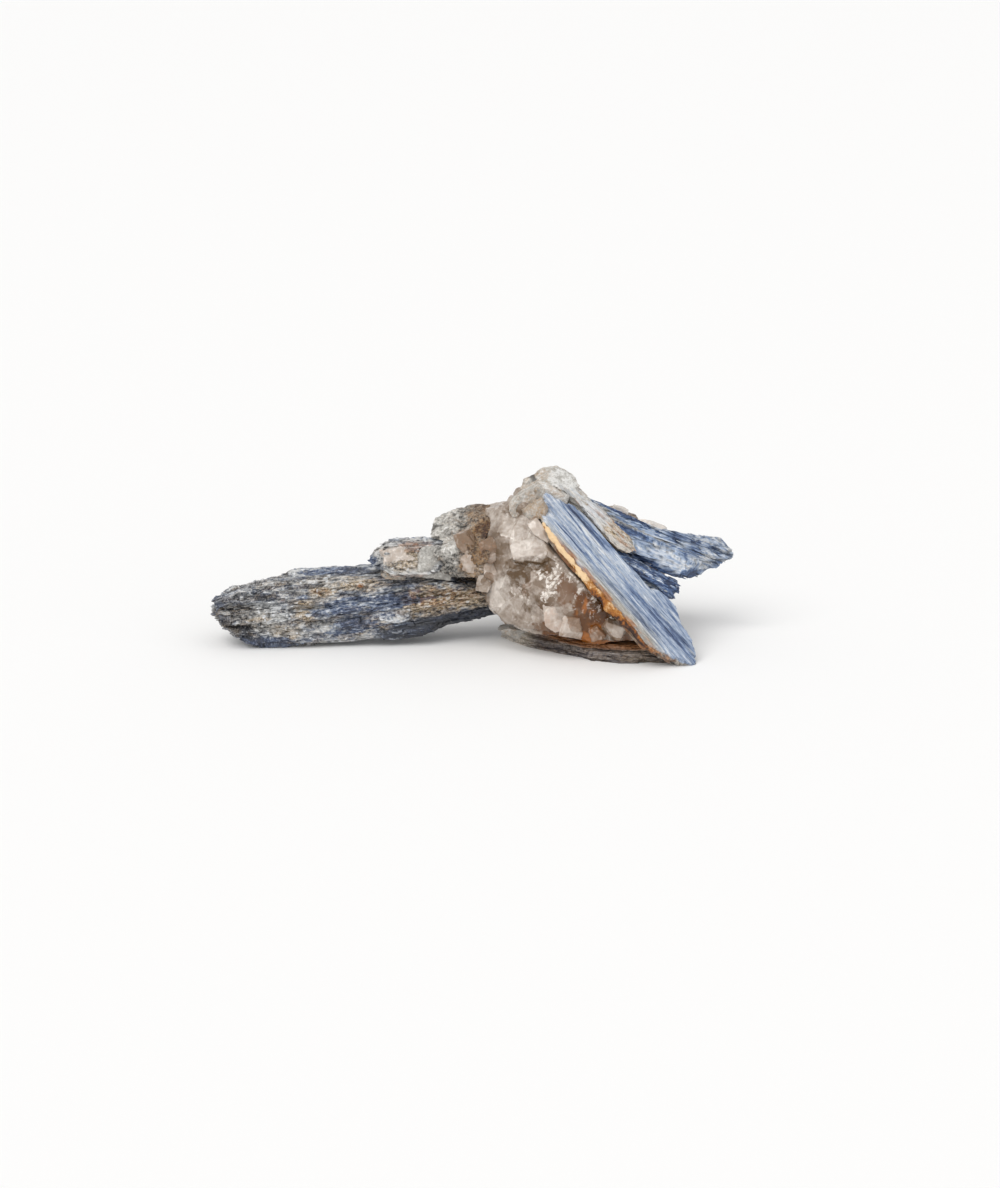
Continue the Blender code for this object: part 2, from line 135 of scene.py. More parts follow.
class KYANITE_PG_blades(bpy.types.PropertyGroup):
    """Kyanite crystals."""

    length: size("Blade length", 9.0, "Length of one blade before it ends or steps")
    width: size("Blade width", 1.3, "Width of one blade on the surface of a bundle")
    relief: size("Blade relief", 0.24, "How far one blade stands above or below the next")
    spacing: size("Surface spacing", 0.165, "Distance between neighbouring surface points")
    splinters: IntProperty(
        name="Splinters", description="Loose splinters on each bundle", default=400, min=0
    )
    navy: colour("Deep blue", "#1d3763", "Colour of the deepest blue kyanite")
    blue: colour("Blue", "#4f6f9f", "Colour of blue kyanite")
    pale: colour("Pale blue", "#a1b4cf", "Colour of pale, pearly kyanite")
    # White is also the colour of the painted glints on the kyanite.
    white: colour("White streaks", "#dfe2e6", "Colour of colourless streaks and cleavage edges")
    # Weathered dark, at a fifth of its brightness, is also the painted shade in the gaps between
    # blades.
    slate: colour("Weathered dark", "#2c2e33", "Colour of dark weathered blades")
    ash: colour("Weathered pale", "#a6a39c", "Colour of pale weathered blades")
    soil: colour("Tan filling", "#bda37c", "Colour of the tan filling between blades")
    ochre: colour("Iron stain", "#b5722f", "Colour of iron staining")


class KYANITE_PG_quartz(bpy.types.PropertyGroup):
    """Smoky quartz."""

    chip: size("Chip size", 5.5, "Size of the larger flat breaks on the quartz")
    relief: size("Chip relief", 0.32, "How far one chip stands above or below the next")
    columns: IntProperty(
        name="Columns", description="Surface points around the quartz", default=430, min=60
    )
    clear: colour("Clear", "#a69382", "Colour of clear quartz in thick pieces")
    # Milky is also the colour of the painted glints among the quartz's shards.
    milk: colour("Milky", "#dad2ca", "Colour of fractures and milky quartz")
    # The smoky and brown colours also paint shade in some patches on the quartz lump.
    smoke: colour("Smoky", "#6a5238", "Colour of smoky quartz")
    brown: colour("Brown", "#6c3e09", "Colour of brown quartz")
    rust: colour("Rust", "#a86422", "Colour of iron stain in the fractures")
    clearness: share("Clearness", 0.35, "Share of the light that goes through the quartz")


class KYANITE_PG_rock(bpy.types.PropertyGroup):
    """Mica schist and iron crust."""

    grain: size("Grain", 0.5, "Size of the grains of the schist")
    relief: size("Relief", 0.55, "Height of the lumps of the schist")
    # Dark grains, at three tenths of their brightness, are also the painted shade in the schist's
    # hollows.
    dark: colour("Dark grains", "#33312d", "Colour of the dark grains")
    middle: colour("Grey grains", "#7d7a75", "Colour of the grey grains")
    pale: colour("Pale grains", "#b9b6b0", "Colour of mica and pale grains")
    ochre: colour("Ochre", "#9c7747", "Colour of ochre between the grains")
    rust: colour("Iron crust", "#965818", "Colour of the iron crust")
    mica: colour("Mica flakes", "#e0dfdc", "Colour of the brightest mica flakes")
    rust_pale: colour("Pale iron crust", "#ab7026", "Colour of the iron crust's upper side")
    rust_crest: colour("Iron crust crests", "#e6c79c", "Colour of the iron crust's crests")
    rust_dark: colour("Dark iron crust", "#4a2813", "Colour of the hollows of the iron crust")


class KYANITE_PG_stage(bpy.types.PropertyGroup):
    """Floor, light and camera."""

    floor: colour("Floor", "#f2f2f2", "Colour of the floor")
    sky: share("Sky", 0.62, "Brightness of the light from all around")
    key: FloatProperty(
        name="Key light",
        description="Strength of the soft light from the upper left, in W per square metre",
        default=1.75,
        min=0.0,
    )
    fill: FloatProperty(
        name="Fill light",
        description="Strength of the soft light from the front right, in W per square metre",
        default=0.5,
        min=0.0,
    )
    distance: size("Camera distance", 550.0, "Distance from the camera to its target")
    elevation: FloatProperty(
        name="Camera elevation",
        description="How far the camera looks down",
        default=VIEW_TILT,
        unit="ROTATION",
        subtype="ANGLE",
    )


# ------------------------------------------------------------------ random surfaces


def scatter(seed, *cells):
    """A number from 0 to 1 for each whole-numbered cell. Its coordinates are mixed into the
    seed one after another: multiply by a large odd number, fold the high bits onto the low."""
    mixed = np.full(np.broadcast(*cells).shape, seed * 2654435761 & 0xFFFFFFFF, np.uint32)
    for cell in cells:
        mixed = (mixed ^ cell.astype(np.int64).astype(np.uint32)) * np.uint32(0x9E3779B1)
        mixed ^= mixed >> np.uint32(15)
        mixed *= np.uint32(0x85EBCA6B)
        mixed ^= mixed >> np.uint32(13)
    return mixed / 4294967296.0


def drift(points, size, seed):
    """Smooth waves from -1 to 1. The corners of a grid of boxes of this size have random
    heights, blended inside a box by 3t^2 - 2t^3 along each axis."""
    places = points / np.asarray(size, float)
    corner = np.floor(places)
    t = places - corner
    t = t * t * (3 - 2 * t)
    total = np.zeros(points.shape[:-1])
    for step in itertools.product((0, 1), repeat=3):
        weight = np.prod(np.where(step, t, 1 - t), axis=-1)
        total += weight * scatter(seed, *np.moveaxis(corner + step, -1, 0))
    return 2 * total - 1


def waves(points, size, seed, octaves=3):
    """drift at this size, plus half as much at half the size, and so on."""
    total = sum(
        drift(points, np.asarray(size, float) / 2**n, seed + n) / 2**n for n in range(octaves)
    )
    return total / 1.5


def centres(points, size, seed, spread):
    """Each box of a grid of this size holds one centre, at a random place within this share
    of it. For each of the eight boxes nearest to the points, gives the way from its centre
    to them, in sizes, and the box's random number."""
    places = points / np.asarray(size, float)
    base = np.floor(places - 0.5)
    for step in itertools.product((0, 1), repeat=3):
        cell = base + step
        parts = np.moveaxis(cell, -1, 0)
        jitter = np.stack([scatter(seed + n, *parts) for n in range(3)], axis=-1)
        yield places - (cell + 0.5 + spread * (jitter - 0.5)), scatter(seed + 3, *parts)


def sloping(way, number):
    """A random slope, drawn from the number, times the way."""
    return (way * (2 * np.mod(number[..., None] * (17.0, 31.0, 57.0), 1.0) - 1)).sum(-1)


def blocks(points, size, seed):
    """Breaks space into flat-topped blocks of about this size: a point belongs to the
    nearest centre. Returns the block's height at the point, a random level from -1 to 1
    plus tilt times a random slope times the way from the centre, then the block's random
    number, then 1 on its border and 0 within."""
    tilt, border = 1.1, 0.14
    nearest = np.full(points.shape[:-1], 9.0)
    second = nearest.copy()
    own = np.zeros_like(nearest)
    away = np.zeros(points.shape)
    for way, number in centres(points, size, seed, 0.75):
        distance = np.sqrt((way**2).sum(-1))
        closer = distance < nearest
        second = np.where(closer, nearest, np.minimum(second, distance))
        nearest = np.where(closer, distance, nearest)
        own = np.where(closer, number, own)
        away = np.where(closer[..., None], way, away)
    height = 2 * np.mod(own * 7.0, 1.0) - 1 + tilt * sloping(away, own)
    return height, own, np.clip(1 - (second - nearest) / border, 0, 1)


def scoops(points, size, seed, tilt=0.6):
    """Scooped breaks of about this size with sharp ridges between them: the smallest, over
    the random centres nearby, of the squared way from the centre in sizes, plus a random
    level up to 0.3, plus tilt times a random slope times that way. Returns this height,
    about 0 to 0.8, and the scoop's random number."""
    lowest = np.full(points.shape[:-1], 99.0)
    own = np.zeros_like(lowest)
    for way, number in centres(points, size, seed, 0.5):
        height = (way**2).sum(-1) + 0.3 * np.mod(number * 7, 1) + tilt * sloping(way, number)
        own = np.where(height < lowest, number, own)
        lowest = np.minimum(lowest, height)
    return lowest, own


def within(points, centre, radii, seed, soft=0.3):
    """1 inside an ellipsoid and 0 outside it, with a border made uneven by waves."""
    away = np.linalg.norm((points - centre) / np.asarray(radii, float), axis=-1)
    away = away + 0.35 * waves(points, 2.4, seed)
    return smooth((1 + soft / 2 - away) / soft)


def seen_height(points):
    """How high each point stands in the front view: z * cos(tilt) + y * sin(tilt)."""
    return points[:, 2] * math.cos(VIEW_TILT) + points[:, 1] * math.sin(VIEW_TILT)


def painted(points, patches, seed, soft=0.5, drawn=(2.2, 2.2, 2.2)):
    """The sum of patches on the front, each (x, height in the front view, half width, half
    height, turn in degrees, amount). A patch is its amount within an ellipse and 0 outside
    it, with a border made uneven by waves of the sizes in drawn."""
    high = seen_height(points)
    uneven = 0.55 * waves(points, drawn, seed)
    uneven = uneven + 0.45 * waves(points, np.array(drawn) / 3, seed + 5)
    total = np.zeros(len(points))
    for x, height, wide, tall, turn, amount in patches:
        c, s = math.cos(math.radians(turn)), math.sin(math.radians(turn))
        a, b = points[:, 0] - x, high - height
        away = np.hypot((a * c + b * s) / wide, (b * c - a * s) / tall) + uneven
        total += amount * smooth((1.1 + soft / 2 - away) / soft)
    return total


def circle(count):
    """Angles evenly round a circle."""
    return np.linspace(0, 2 * math.pi, count, endpoint=False)


def smooth(t):
    """0 below 0, 1 above 1 and 3t^2 - 2t^3 between."""
    t = np.clip(t, 0, 1)
    return t * t * (3 - 2 * t)


# ------------------------------------------------------------------ surfaces over the solids


def reach(node, origins, ways):
    """How far the solid reaches from each origin along each way: the largest distance at
    which that ray crosses one of the solid's triangles, or 0 where it crosses none. The rays
    are taken in parts, because each part fills a table of rays by triangles."""
    table_size = 1_500_000
    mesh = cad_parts[node].data
    mesh.calc_loop_triangles()
    places = np.empty(len(mesh.vertices) * 3)
    mesh.vertices.foreach_get("co", places)
    corners = np.empty(len(mesh.loop_triangles) * 3, np.int32)
    mesh.loop_triangles.foreach_get("vertices", corners)
    a, b, c = np.moveaxis(places.reshape(-1, 3)[corners.reshape(-1, 3)] / MM, 1, 0)
    one, two = b - a, c - a
    shape = np.broadcast_shapes(origins.shape, ways.shape)
    origins = np.broadcast_to(origins, shape).reshape(-1, 3)
    ways = np.broadcast_to(ways, shape).reshape(-1, 3)
    far = np.zeros(len(ways))
    for part in np.array_split(np.arange(len(ways)), 1 + len(ways) * len(a) // table_size):
        way, rel = ways[part][:, None], origins[part][:, None] - a
        p = np.cross(way, two)
        q = np.cross(rel, one)
        with np.errstate(divide="ignore", invalid="ignore"):
            scale = 1 / (one * p).sum(-1)
            u, v, t = (rel * p).sum(-1) * scale, (way * q).sum(-1) * scale, (two * q).sum(-1)
            t = t * scale
            hit = (u >= 0) & (v >= 0) & (u + v <= 1) & (t > 0)
        far[part] = np.where(hit, t, 0).max(1)
    return far.reshape(shape[:-1])


def without_gaps(table):
    """The table with each 0 replaced by the last number before it in its column, or by the
    first one after it."""
    for _ in range(2):
        known = np.where(table > 0, np.arange(len(table))[:, None], 0)
        table = np.take_along_axis(table, np.maximum.accumulate(known, axis=0), axis=0)[::-1]
    return table


def looked_up(table, row, column):
    """The table at fractional rows and columns, blended from the four nearest entries. Its
    columns go round and its end rows continue."""
    row = np.clip(row, 0, len(table) - 1.001)
    r, c = np.floor(row).astype(int), np.floor(column).astype(int)
    across = column - c
    down = row - r
    c0, c1 = c % table.shape[1], (c + 1) % table.shape[1]
    upper = table[r, c0] * (1 - across) + table[r, c1] * across
    lower = table[r + 1, c0] * (1 - across) + table[r + 1, c1] * across
    return upper * (1 - down) + lower * down


def capsule_faces(rows, columns):
    """Faces of a closed grid whose columns go round: quads between its rows, and a fan from
    its first and its last row to a pole each. The poles' points come after the grid's."""
    index = np.arange(rows * columns).reshape(rows, columns)
    beside = np.roll(index, -1, axis=1)
    quads = np.stack((index[:-1], beside[:-1], beside[1:], index[1:]), -1).reshape(-1, 4)
    first = np.full(columns, rows * columns)
    fans = (first, beside[0], index[0]), (first + 1, index[-1], beside[-1])
    return quads, np.concatenate([np.stack(fan, -1) for fan in fans])


def capsule(grid):
    """Points or numbers of a closed grid with its two poles, in the order that
    capsule_faces uses. A pole is the mean of the row beside it."""
    poles = grid[[0, -1]].mean(axis=1)
    return np.concatenate((grid.reshape(-1, *grid.shape[2:]), poles))


def slab_faces(rows, columns, layers):
    """Faces of a slab: a front grid, a back grid, and layers of rings between their rims.
    The points come in that order, and each ring starts at the first point and goes along
    the first row, down the last column, back along the last row and up."""
    front = np.arange(rows * columns).reshape(rows, columns)
    back = front + front.size
    rim = np.concatenate((front[0], front[1:, -1], front[-1, -2::-1], front[-2:0:-1, 0]))
    rings = np.arange(layers * len(rim)).reshape(layers, len(rim)) + 2 * front.size
    loops = np.vstack((rim, rings, rim + front.size))
    beside = np.roll(loops, -1, axis=1)
    sheets = [
        np.stack((g[:-1, :-1], g[:-1, 1:], g[1:, 1:], g[1:, :-1]), -1).reshape(-1, 4)
        for g in (front, back)
    ]
    sides = np.stack((loops[:-1], loops[1:], beside[1:], beside[:-1]), -1).reshape(-1, 4)
    return np.concatenate((sheets[0], sheets[1][:, ::-1], sides)), rim


def steps_down(rows):
    """The middles of this many even steps from 0 to 1, as a column."""
    return (np.arange(rows) + 0.5)[:, None] / rows


def directions(down, round_it):
    """Directions from the angle down from Z and the angle round it."""
    sine, cosine = np.sin(down), np.cos(down)
    return np.stack((sine * np.cos(round_it), sine * np.sin(round_it), cosine + 0 * round_it), -1)


def outward(points, quads, triangles):
    """The faces turned over if the volume that they close counts as negative."""
    thirds = np.concatenate((quads[:, :3], quads[:, [0, 2, 3]], triangles))
    a, b, c = np.moveaxis(points[thirds], 1, 0)
    if (a * np.cross(b, c)).sum() < 0:
        return quads[:, ::-1], triangles[:, ::-1]
    return quads, triangles


def closed(grid):
    """Points and outward faces of a closed grid and its two poles."""
    points = capsule(grid)
    return points, *outward(points, *capsule_faces(*grid.shape[:2]))


def splinters(points, along, out, size, tone, seed):
    """Thin six-sided splinters lying on a surface. Each is a box whose length runs along the
    blades, pinched at its ends: corner = middle + l * along + w * side + t * out, where the
    half length l is 0.4 to 1.6 times the given one, and the two ends have a third and nearly
    half of the middle's width. Returns the corners, the quads and each corner's tone."""
    chance = np.random.default_rng(seed)
    count = len(points)
    side = np.cross(along, out)
    turn = chance.normal(0, 0.07, (count, 1))
    along = along + turn * side + chance.normal(0, 0.02, (count, 1)) * out
    length, width, thick = (s * chance.uniform(0.4, 1.6, (count, 1, 1)) for s in size)
    ends = np.repeat(np.array((-1.0, -0.35, 0.5, 1.0)), 4)[None, :, None]
    narrow = np.repeat(np.array((0.3, 1.0, 0.8, 0.45)), 4)[None, :, None]
    across = np.tile(np.array((-1.0, 1.0, 1.0, -1.0)), 4)[None, :, None]
    high = np.tile(np.array((-1.0, -1.0, 1.0, 1.0)), 4)[None, :, None]
    skew = chance.uniform(-0.5, 0.5, (count, 1, 1)) * across * width
    corners = (
        points[:, None]
        + (ends * length + skew) * along[:, None]
        + across * narrow * width * side[:, None]
        + high * (0.4 + 0.6 * narrow) * thick * out[:, None]
    )
    ring = np.array([[n, (n + 1) % 4, (n + 1) % 4 + 4, n + 4] for n in range(4)])
    body = np.concatenate((ring, ring + 4, ring + 8, [[3, 2, 1, 0], [12, 13, 14, 15]]))
    faces = (body[None] + SPLINTER_CORNERS * np.arange(count)[:, None, None]).reshape(-1, 4)
    tone = np.repeat(np.clip(tone + chance.normal(0, 0.22, count), 0, 1), SPLINTER_CORNERS)
    return corners.reshape(-1, 3), faces, tone


def write_piece(name, stands_for, slot, finish, points, quads, triangles, marks):
    """Makes the object from points in millimetres, and the marks that its material reads."""
    mesh = bpy.data.meshes.new(name)
    mesh.from_pydata((points * MM).tolist(), [], quads.tolist() + triangles.tolist())
    for mark, values in marks.items():
        kind, field = ("FLOAT", "value") if values.ndim == 1 else ("FLOAT_VECTOR", "vector")
        attribute = mesh.attributes.new(mark, kind, "POINT")
        attribute.data.foreach_set(field, values.astype(np.float32).ravel())
    mesh.materials.append(finish)
    mesh.update()
    made = bpy.data.objects.new(name, mesh)
    bpy.context.scene.collection.objects.link(made)
    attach(made, "root")
    if stands_for:
        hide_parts(stands_for)


# ------------------------------------------------------------------ the kinds of piece


def bundle(
    looks, node, free, buried, profile, ragged, seed, stretch=1.0, crumble=1.0, lean=0.0,
    swell=0.0, passes=20, pressed=(),
):
    """A bundle of blades as one closed surface, in its own axes: s along it from its free
    end, y to its side and z up.

    The outer surface is r(s, angle), the solid's reach from the axis, plus swell, plus
    relief: the sum over three sizes of blade of the block height of (s / stretch, y, z),
    with y and z widened where the bundle is thin, so that blades fan out, and s widened at
    the free end, so that blades are short where they crumble. The blades rise by lean per
    mm of s. The free end is s(y, z): the profile, a table of end position against z, plus a
    random length for each blade, up to ragged. What lies beyond all the pressed planes, each
    a point and a direction, is pressed towards the first to a fifth of its height."""
    free, buried = np.array(free), np.array(buried)
    length = np.linalg.norm(buried - free)
    along = unit(buried - free)
    side = unit(np.cross(along, Z))
    up = np.cross(side, along)
    sections, angles = int(length / 0.4), 128
    early = 3  # the furthest that a blade's end lies before the free end
    inmost, outmost, closing_rows = 0.02, 0.98, 6
    inset, thinnest = 0.15, 0.02
    angle = circle(angles)
    ways = np.cos(angle)[:, None] * side + np.sin(angle)[:, None] * up
    origins = free + np.linspace(0, length, sections)[:, None, None] * along
    table = without_gaps(reach(node, origins, ways))
    table = (np.roll(table, 1, 1) + 2 * table + np.roll(table, -1, 1)) / 4
    for _ in range(passes):
        table[1:-1] = (table[:-2] + 2 * table[1:-1] + table[2:]) / 4
    girth = table.mean()

    spacing = looks.spacing / MM
    columns = int(2 * math.pi * girth * 1.1 / spacing)
    around = np.arange(columns) / columns * angles
    rim = looked_up(table, np.zeros(columns), around)
    turn = around / angles * 2 * math.pi
    cap_rows, side_rows = int(girth / spacing), int((length + early) / spacing)
    limit = (BUNDLE_QUADS - SPLINTER_QUADS * looks.splinters) // columns
    side_rows = min(side_rows, limit - cap_rows - closing_rows)

    def end_of(y, z):
        """Where the blades at y and z end."""
        flat = np.stack((y * 0, y, z), -1)
        own = blocks(flat, (1, 1.9, 1.3), seed + 40)[1]
        fine = blocks(flat, (1, 0.7, 0.6), seed + 50)[1]
        ends = np.interp(z, *np.array(profile).T) + 0.05 * y**2
        return ends + ragged * (0.7 * own + 0.3 * fine)

    rho = np.linspace(inmost, outmost, cap_rows)[:, None]
    cap_r = rho * rim
    cap_y, cap_z = cap_r * np.cos(turn), cap_r * np.sin(turn)
    rim_s = end_of(rim * np.cos(turn), rim * np.sin(turn))
    part = np.linspace(0, 1, side_rows)[:, None]
    side_s = rim_s + part * (length - rim_s)
    side_r = looked_up(table, side_s / length * (sections - 1), around + 0 * part)
    close = np.linspace(outmost, inmost, closing_rows)[:, None]
    far_r = side_r[-1] * close
    s = np.concatenate((end_of(cap_y, cap_z), side_s, side_s[-1] + 0 * close))
    r = np.concatenate((cap_r, side_r, far_r))
    flat = np.concatenate((0 * cap_r + rho**6, 0 * side_r + 1, 0 * far_r + close))

    half = np.interp(s, np.linspace(0, length, sections), table.mean(axis=1))
    fan = (girth / half) ** 0.8
    at = np.stack((s, r * np.cos(turn), r * np.sin(turn)), -1)
    end = np.exp(-np.maximum(s + early, 0) / 6)
    drawn = s / stretch + 14 * crumble * (1 - np.exp(-s / 9))
    place = np.stack((drawn, at[..., 1] * fan, at[..., 2] * fan), -1)
    place[..., 1:] += 0.4 * waves(place, (20, 5, 5), seed)[..., None]
    place[..., 2] -= lean * s
    l, w, h = looks.length / MM, looks.width / MM, looks.relief / MM
    broad = blocks(place, (l, w, w), seed)
    middle = blocks(place, (l * 0.5, w * 0.5, w * 0.45), seed + 10)
    thin = blocks(place, (l * 0.2, w * 0.24, w * 0.24), seed + 20)
    chunks = blocks(at, (3.4, 2.2, 1.8), seed + 60)
    crumbs = blocks(at, 0.8, seed + 70)
    crumb = waves(place, (1.2, 0.6, 0.6), seed + 30)
    relief = h * (broad[0] + 0.55 * middle[0] + 0.3 * thin[0] - 0.7 * broad[2])
    relief -= h * 0.35 * middle[2]
    relief += 0.08 * crumb + crumble * end * (0.5 * chunks[0] + 0.22 * crumbs[0])
    r = np.maximum(r + flat * (relief + swell) - inset, thinnest)
    s = s - (1 - flat) * 0.6 * relief
    grid = (
        free
        + s[..., None] * along
        + (r * np.cos(turn))[..., None] * side
        + (r * np.sin(turn))[..., None] * up
    )
    if pressed:
        beyond = np.min([(grid - at) @ unit(out) for at, out in pressed], axis=0)
        grid = grid - 0.8 * np.maximum(beyond, 0)[..., None] * unit(pressed[0][1])
    tone = 0.5 + 0.16 * (2 * broad[1] - 1) + 0.18 * (2 * middle[1] - 1) + 0.1 * crumb
    tone = tone + 0.15 * (2 * thin[1] - 1)
    marks = {
        "place": place,
        "tone": tone + crumble * end * (0.2 * (2 * chunks[1] - 1) + 0.15 * (2 * crumbs[1] - 1)),
        # The cut mark is painted shade in the gaps between blades, and between chunks at the free
        # end.
        "cut": (broad[2] * 0.8 + middle[2] * 0.4 + 0.6 * end * chunks[2]).clip(0, 1) * flat,
        "own": 0.6 * middle[1] + 0.4 * broad[1],
    }
    marks = {name: capsule(values) for name, values in marks.items()}
    return grid, marks, (along, side, up, cap_rows, side_rows)


def with_splinters(points, marks, info, columns, looks, length, seed):
    """Splinters scattered over the side of a bundle, as extra loose parts of its mesh."""
    along, side, up, cap_rows, side_rows = info
    lift, width, thickness, row_length = 0.04, 0.13, 0.06, 0.16
    chance = np.random.default_rng(seed)
    first, last = cap_rows + int(length / row_length), cap_rows + int(side_rows * 0.93)
    row = chance.integers(first, last, looks.splinters)
    column = chance.integers(0, columns, looks.splinters)
    turn = column / columns * 2 * math.pi
    out = np.cos(turn)[:, None] * side + np.sin(turn)[:, None] * up
    picked = row * columns + column
    size = (length, width, thickness)
    at = points[picked] + lift * out
    alongs = np.tile(along, (len(out), 1))
    corners, faces, tone = splinters(at, alongs, out, size, marks["tone"][picked], seed)
    extra = {
        name: np.repeat(values[picked], SPLINTER_CORNERS, axis=0)
        for name, values in marks.items()
    }
    extra["tone"] = tone
    away = corners - np.repeat(points[picked], SPLINTER_CORNERS, axis=0)
    extra["place"] = extra["place"] + away
    return corners, faces, extra


def star(node, centre, columns, front=0.35, longest=99.0):
    """A lump as one closed surface seen from its centre: r(polar angle, angle round it) is
    the solid's reach, read on a grid three times coarser. The angle round it is
    t + front * sin(t), which crowds the columns on the front. Returns the directions and
    reaches on the grid."""

    def ways(rows, columns):
        t = circle(columns)
        return directions(steps_down(rows) * math.pi, t + front * np.sin(t) + math.pi / 2)

    rows = columns // 2
    coarse_rows, coarse_columns = rows // 3, columns // 3
    far = reach(node, centre, ways(coarse_rows, coarse_columns))
    table = without_gaps(np.minimum(far, longest))
    row = steps_down(rows) * coarse_rows - 0.5
    column = np.arange(columns) / columns * coarse_columns
    return ways(rows, columns), looked_up(table, row + 0 * column, column + 0 * row)


def clipped(ways, centre, r, cuts):
    """A reach cut off flat: the smallest of it and, for each cut, a point and an outward
    direction n, ((point - centre) . n) / (way . n). Also returns which cut is the smallest,
    or -1."""
    least_facing = 0.05
    which = np.full(r.shape, -1)
    for number, (point, out) in enumerate(cuts):
        out = unit(out)
        facing = ways @ out
        limit = ((np.array(point) - centre) @ out) / np.maximum(facing, least_facing)
        cut = (facing > least_facing) & (limit < r)
        which[cut] = number
        r = np.where(cut, limit, r)
    return r, which


def chip(name, slot, finish, centre, half, turn, seed, marks_of):
    """A broken bit of stone as one closed surface: r(polar angle, angle round it) is that of
    a solid with flat faces, the smallest of d / (way . n) over random directions n, with d
    from 0.86 to 1.1. It is drawn out to its half sizes, gets scoops, and is turned by two
    angles in degrees, about Y and then about Z."""
    rows, columns, facets = 62, 104, 11
    ways = directions(steps_down(rows) * math.pi, circle(columns))
    chance = np.random.default_rng(seed)
    outs = chance.normal(size=(facets, 3))
    outs = np.concatenate((outs / np.linalg.norm(outs, axis=1)[:, None], np.eye(3), -np.eye(3)))
    facing = np.maximum(ways @ outs.T, 0.02)
    r = (chance.uniform(0.86, 1.1, len(outs)) / facing).min(-1)
    half = np.array(half)
    flat = r[..., None] * ways * half
    pits = 0.5 * scoops(flat, 1.9, seed + 1, 0.9)[0] + 0.25 * scoops(flat, 0.7, seed + 2, 0.9)[0]
    flat = flat * (1 + 0.5 * (pits - 0.3) / half.mean())[..., None]
    b, c = np.radians(turn)
    about_y = np.array(((math.cos(b), 0, -math.sin(b)), (0, 1, 0), (math.sin(b), 0, math.cos(b))))
    about_z = np.array(((math.cos(c), math.sin(c), 0), (-math.sin(c), math.cos(c), 0), (0, 0, 1)))
    points, quads, fans = closed(flat @ about_y @ about_z + centre)
    write_piece(name, None, slot, finish, points, quads, fans, marks_of(points))


# ------------------------------------------------------------------ materials

# The Mix node's settings for colours: its share is input 0, and its colours are 6 and 7.
MIX = {"output": 2, "data_type": "RGBA"}


def node(tree, kind, inputs=(), output=0, stops=(), **settings):
    """Adds a shader node with its settings, its inputs by place or name, each a value or a
    socket to link, and the stops of its ramp, and returns one of its outputs."""
    made = tree.nodes.new("ShaderNode" + kind)
    for name, value in settings.items():
        setattr(made, name, value)
    for name, value in inputs.items() if isinstance(inputs, dict) else enumerate(inputs):
        socket = made.inputs[name]
        if isinstance(value, bpy.types.NodeSocket):
            tree.links.new(value, socket)
        else:
            colour_of = socket.type == "RGBA" and len(value) == 3
            socket.default_value = (*value, 1.0) if colour_of else value
    for number, (place, tint) in enumerate(stops):
        if number > 1:
            made.color_ramp.elements.new(1.0)
        made.color_ramp.elements[number].position = place
        made.color_ramp.elements[number].color = (*tint, 1.0)
    return made.outputs[output]


def start_material(name, *marks):
    """A new material, a way to add nodes to it, one to set its Principled shader's inputs,
    and the sockets that read these marks of the surface."""
    material = bpy.data.materials.new(name)
    material.use_nodes = True
    tree = material.node_tree
    shader = tree.nodes["Principled BSDF"]

    def finish(**inputs):
        for key, value in inputs.items():
            socket = shader.inputs[key.replace("_", " ")]
            if isinstance(value, bpy.types.NodeSocket):
                tree.links.new(value, socket)
            else:
                socket.default_value = value

    add = functools.partial(node, tree)
    mark = {
        key: add("Attribute", output="Vector" if key == "place" else "Fac", attribute_name=key)
        for key in marks
    }
    return material, add, finish, mark


def faded(tint, share):
    """A colour at this share of its brightness."""
    return tuple(c * share for c in tint)


def between(one, two):
    """The colour half-way between two colours."""
    return tuple((a + b) / 2 for a, b in zip(one, two))


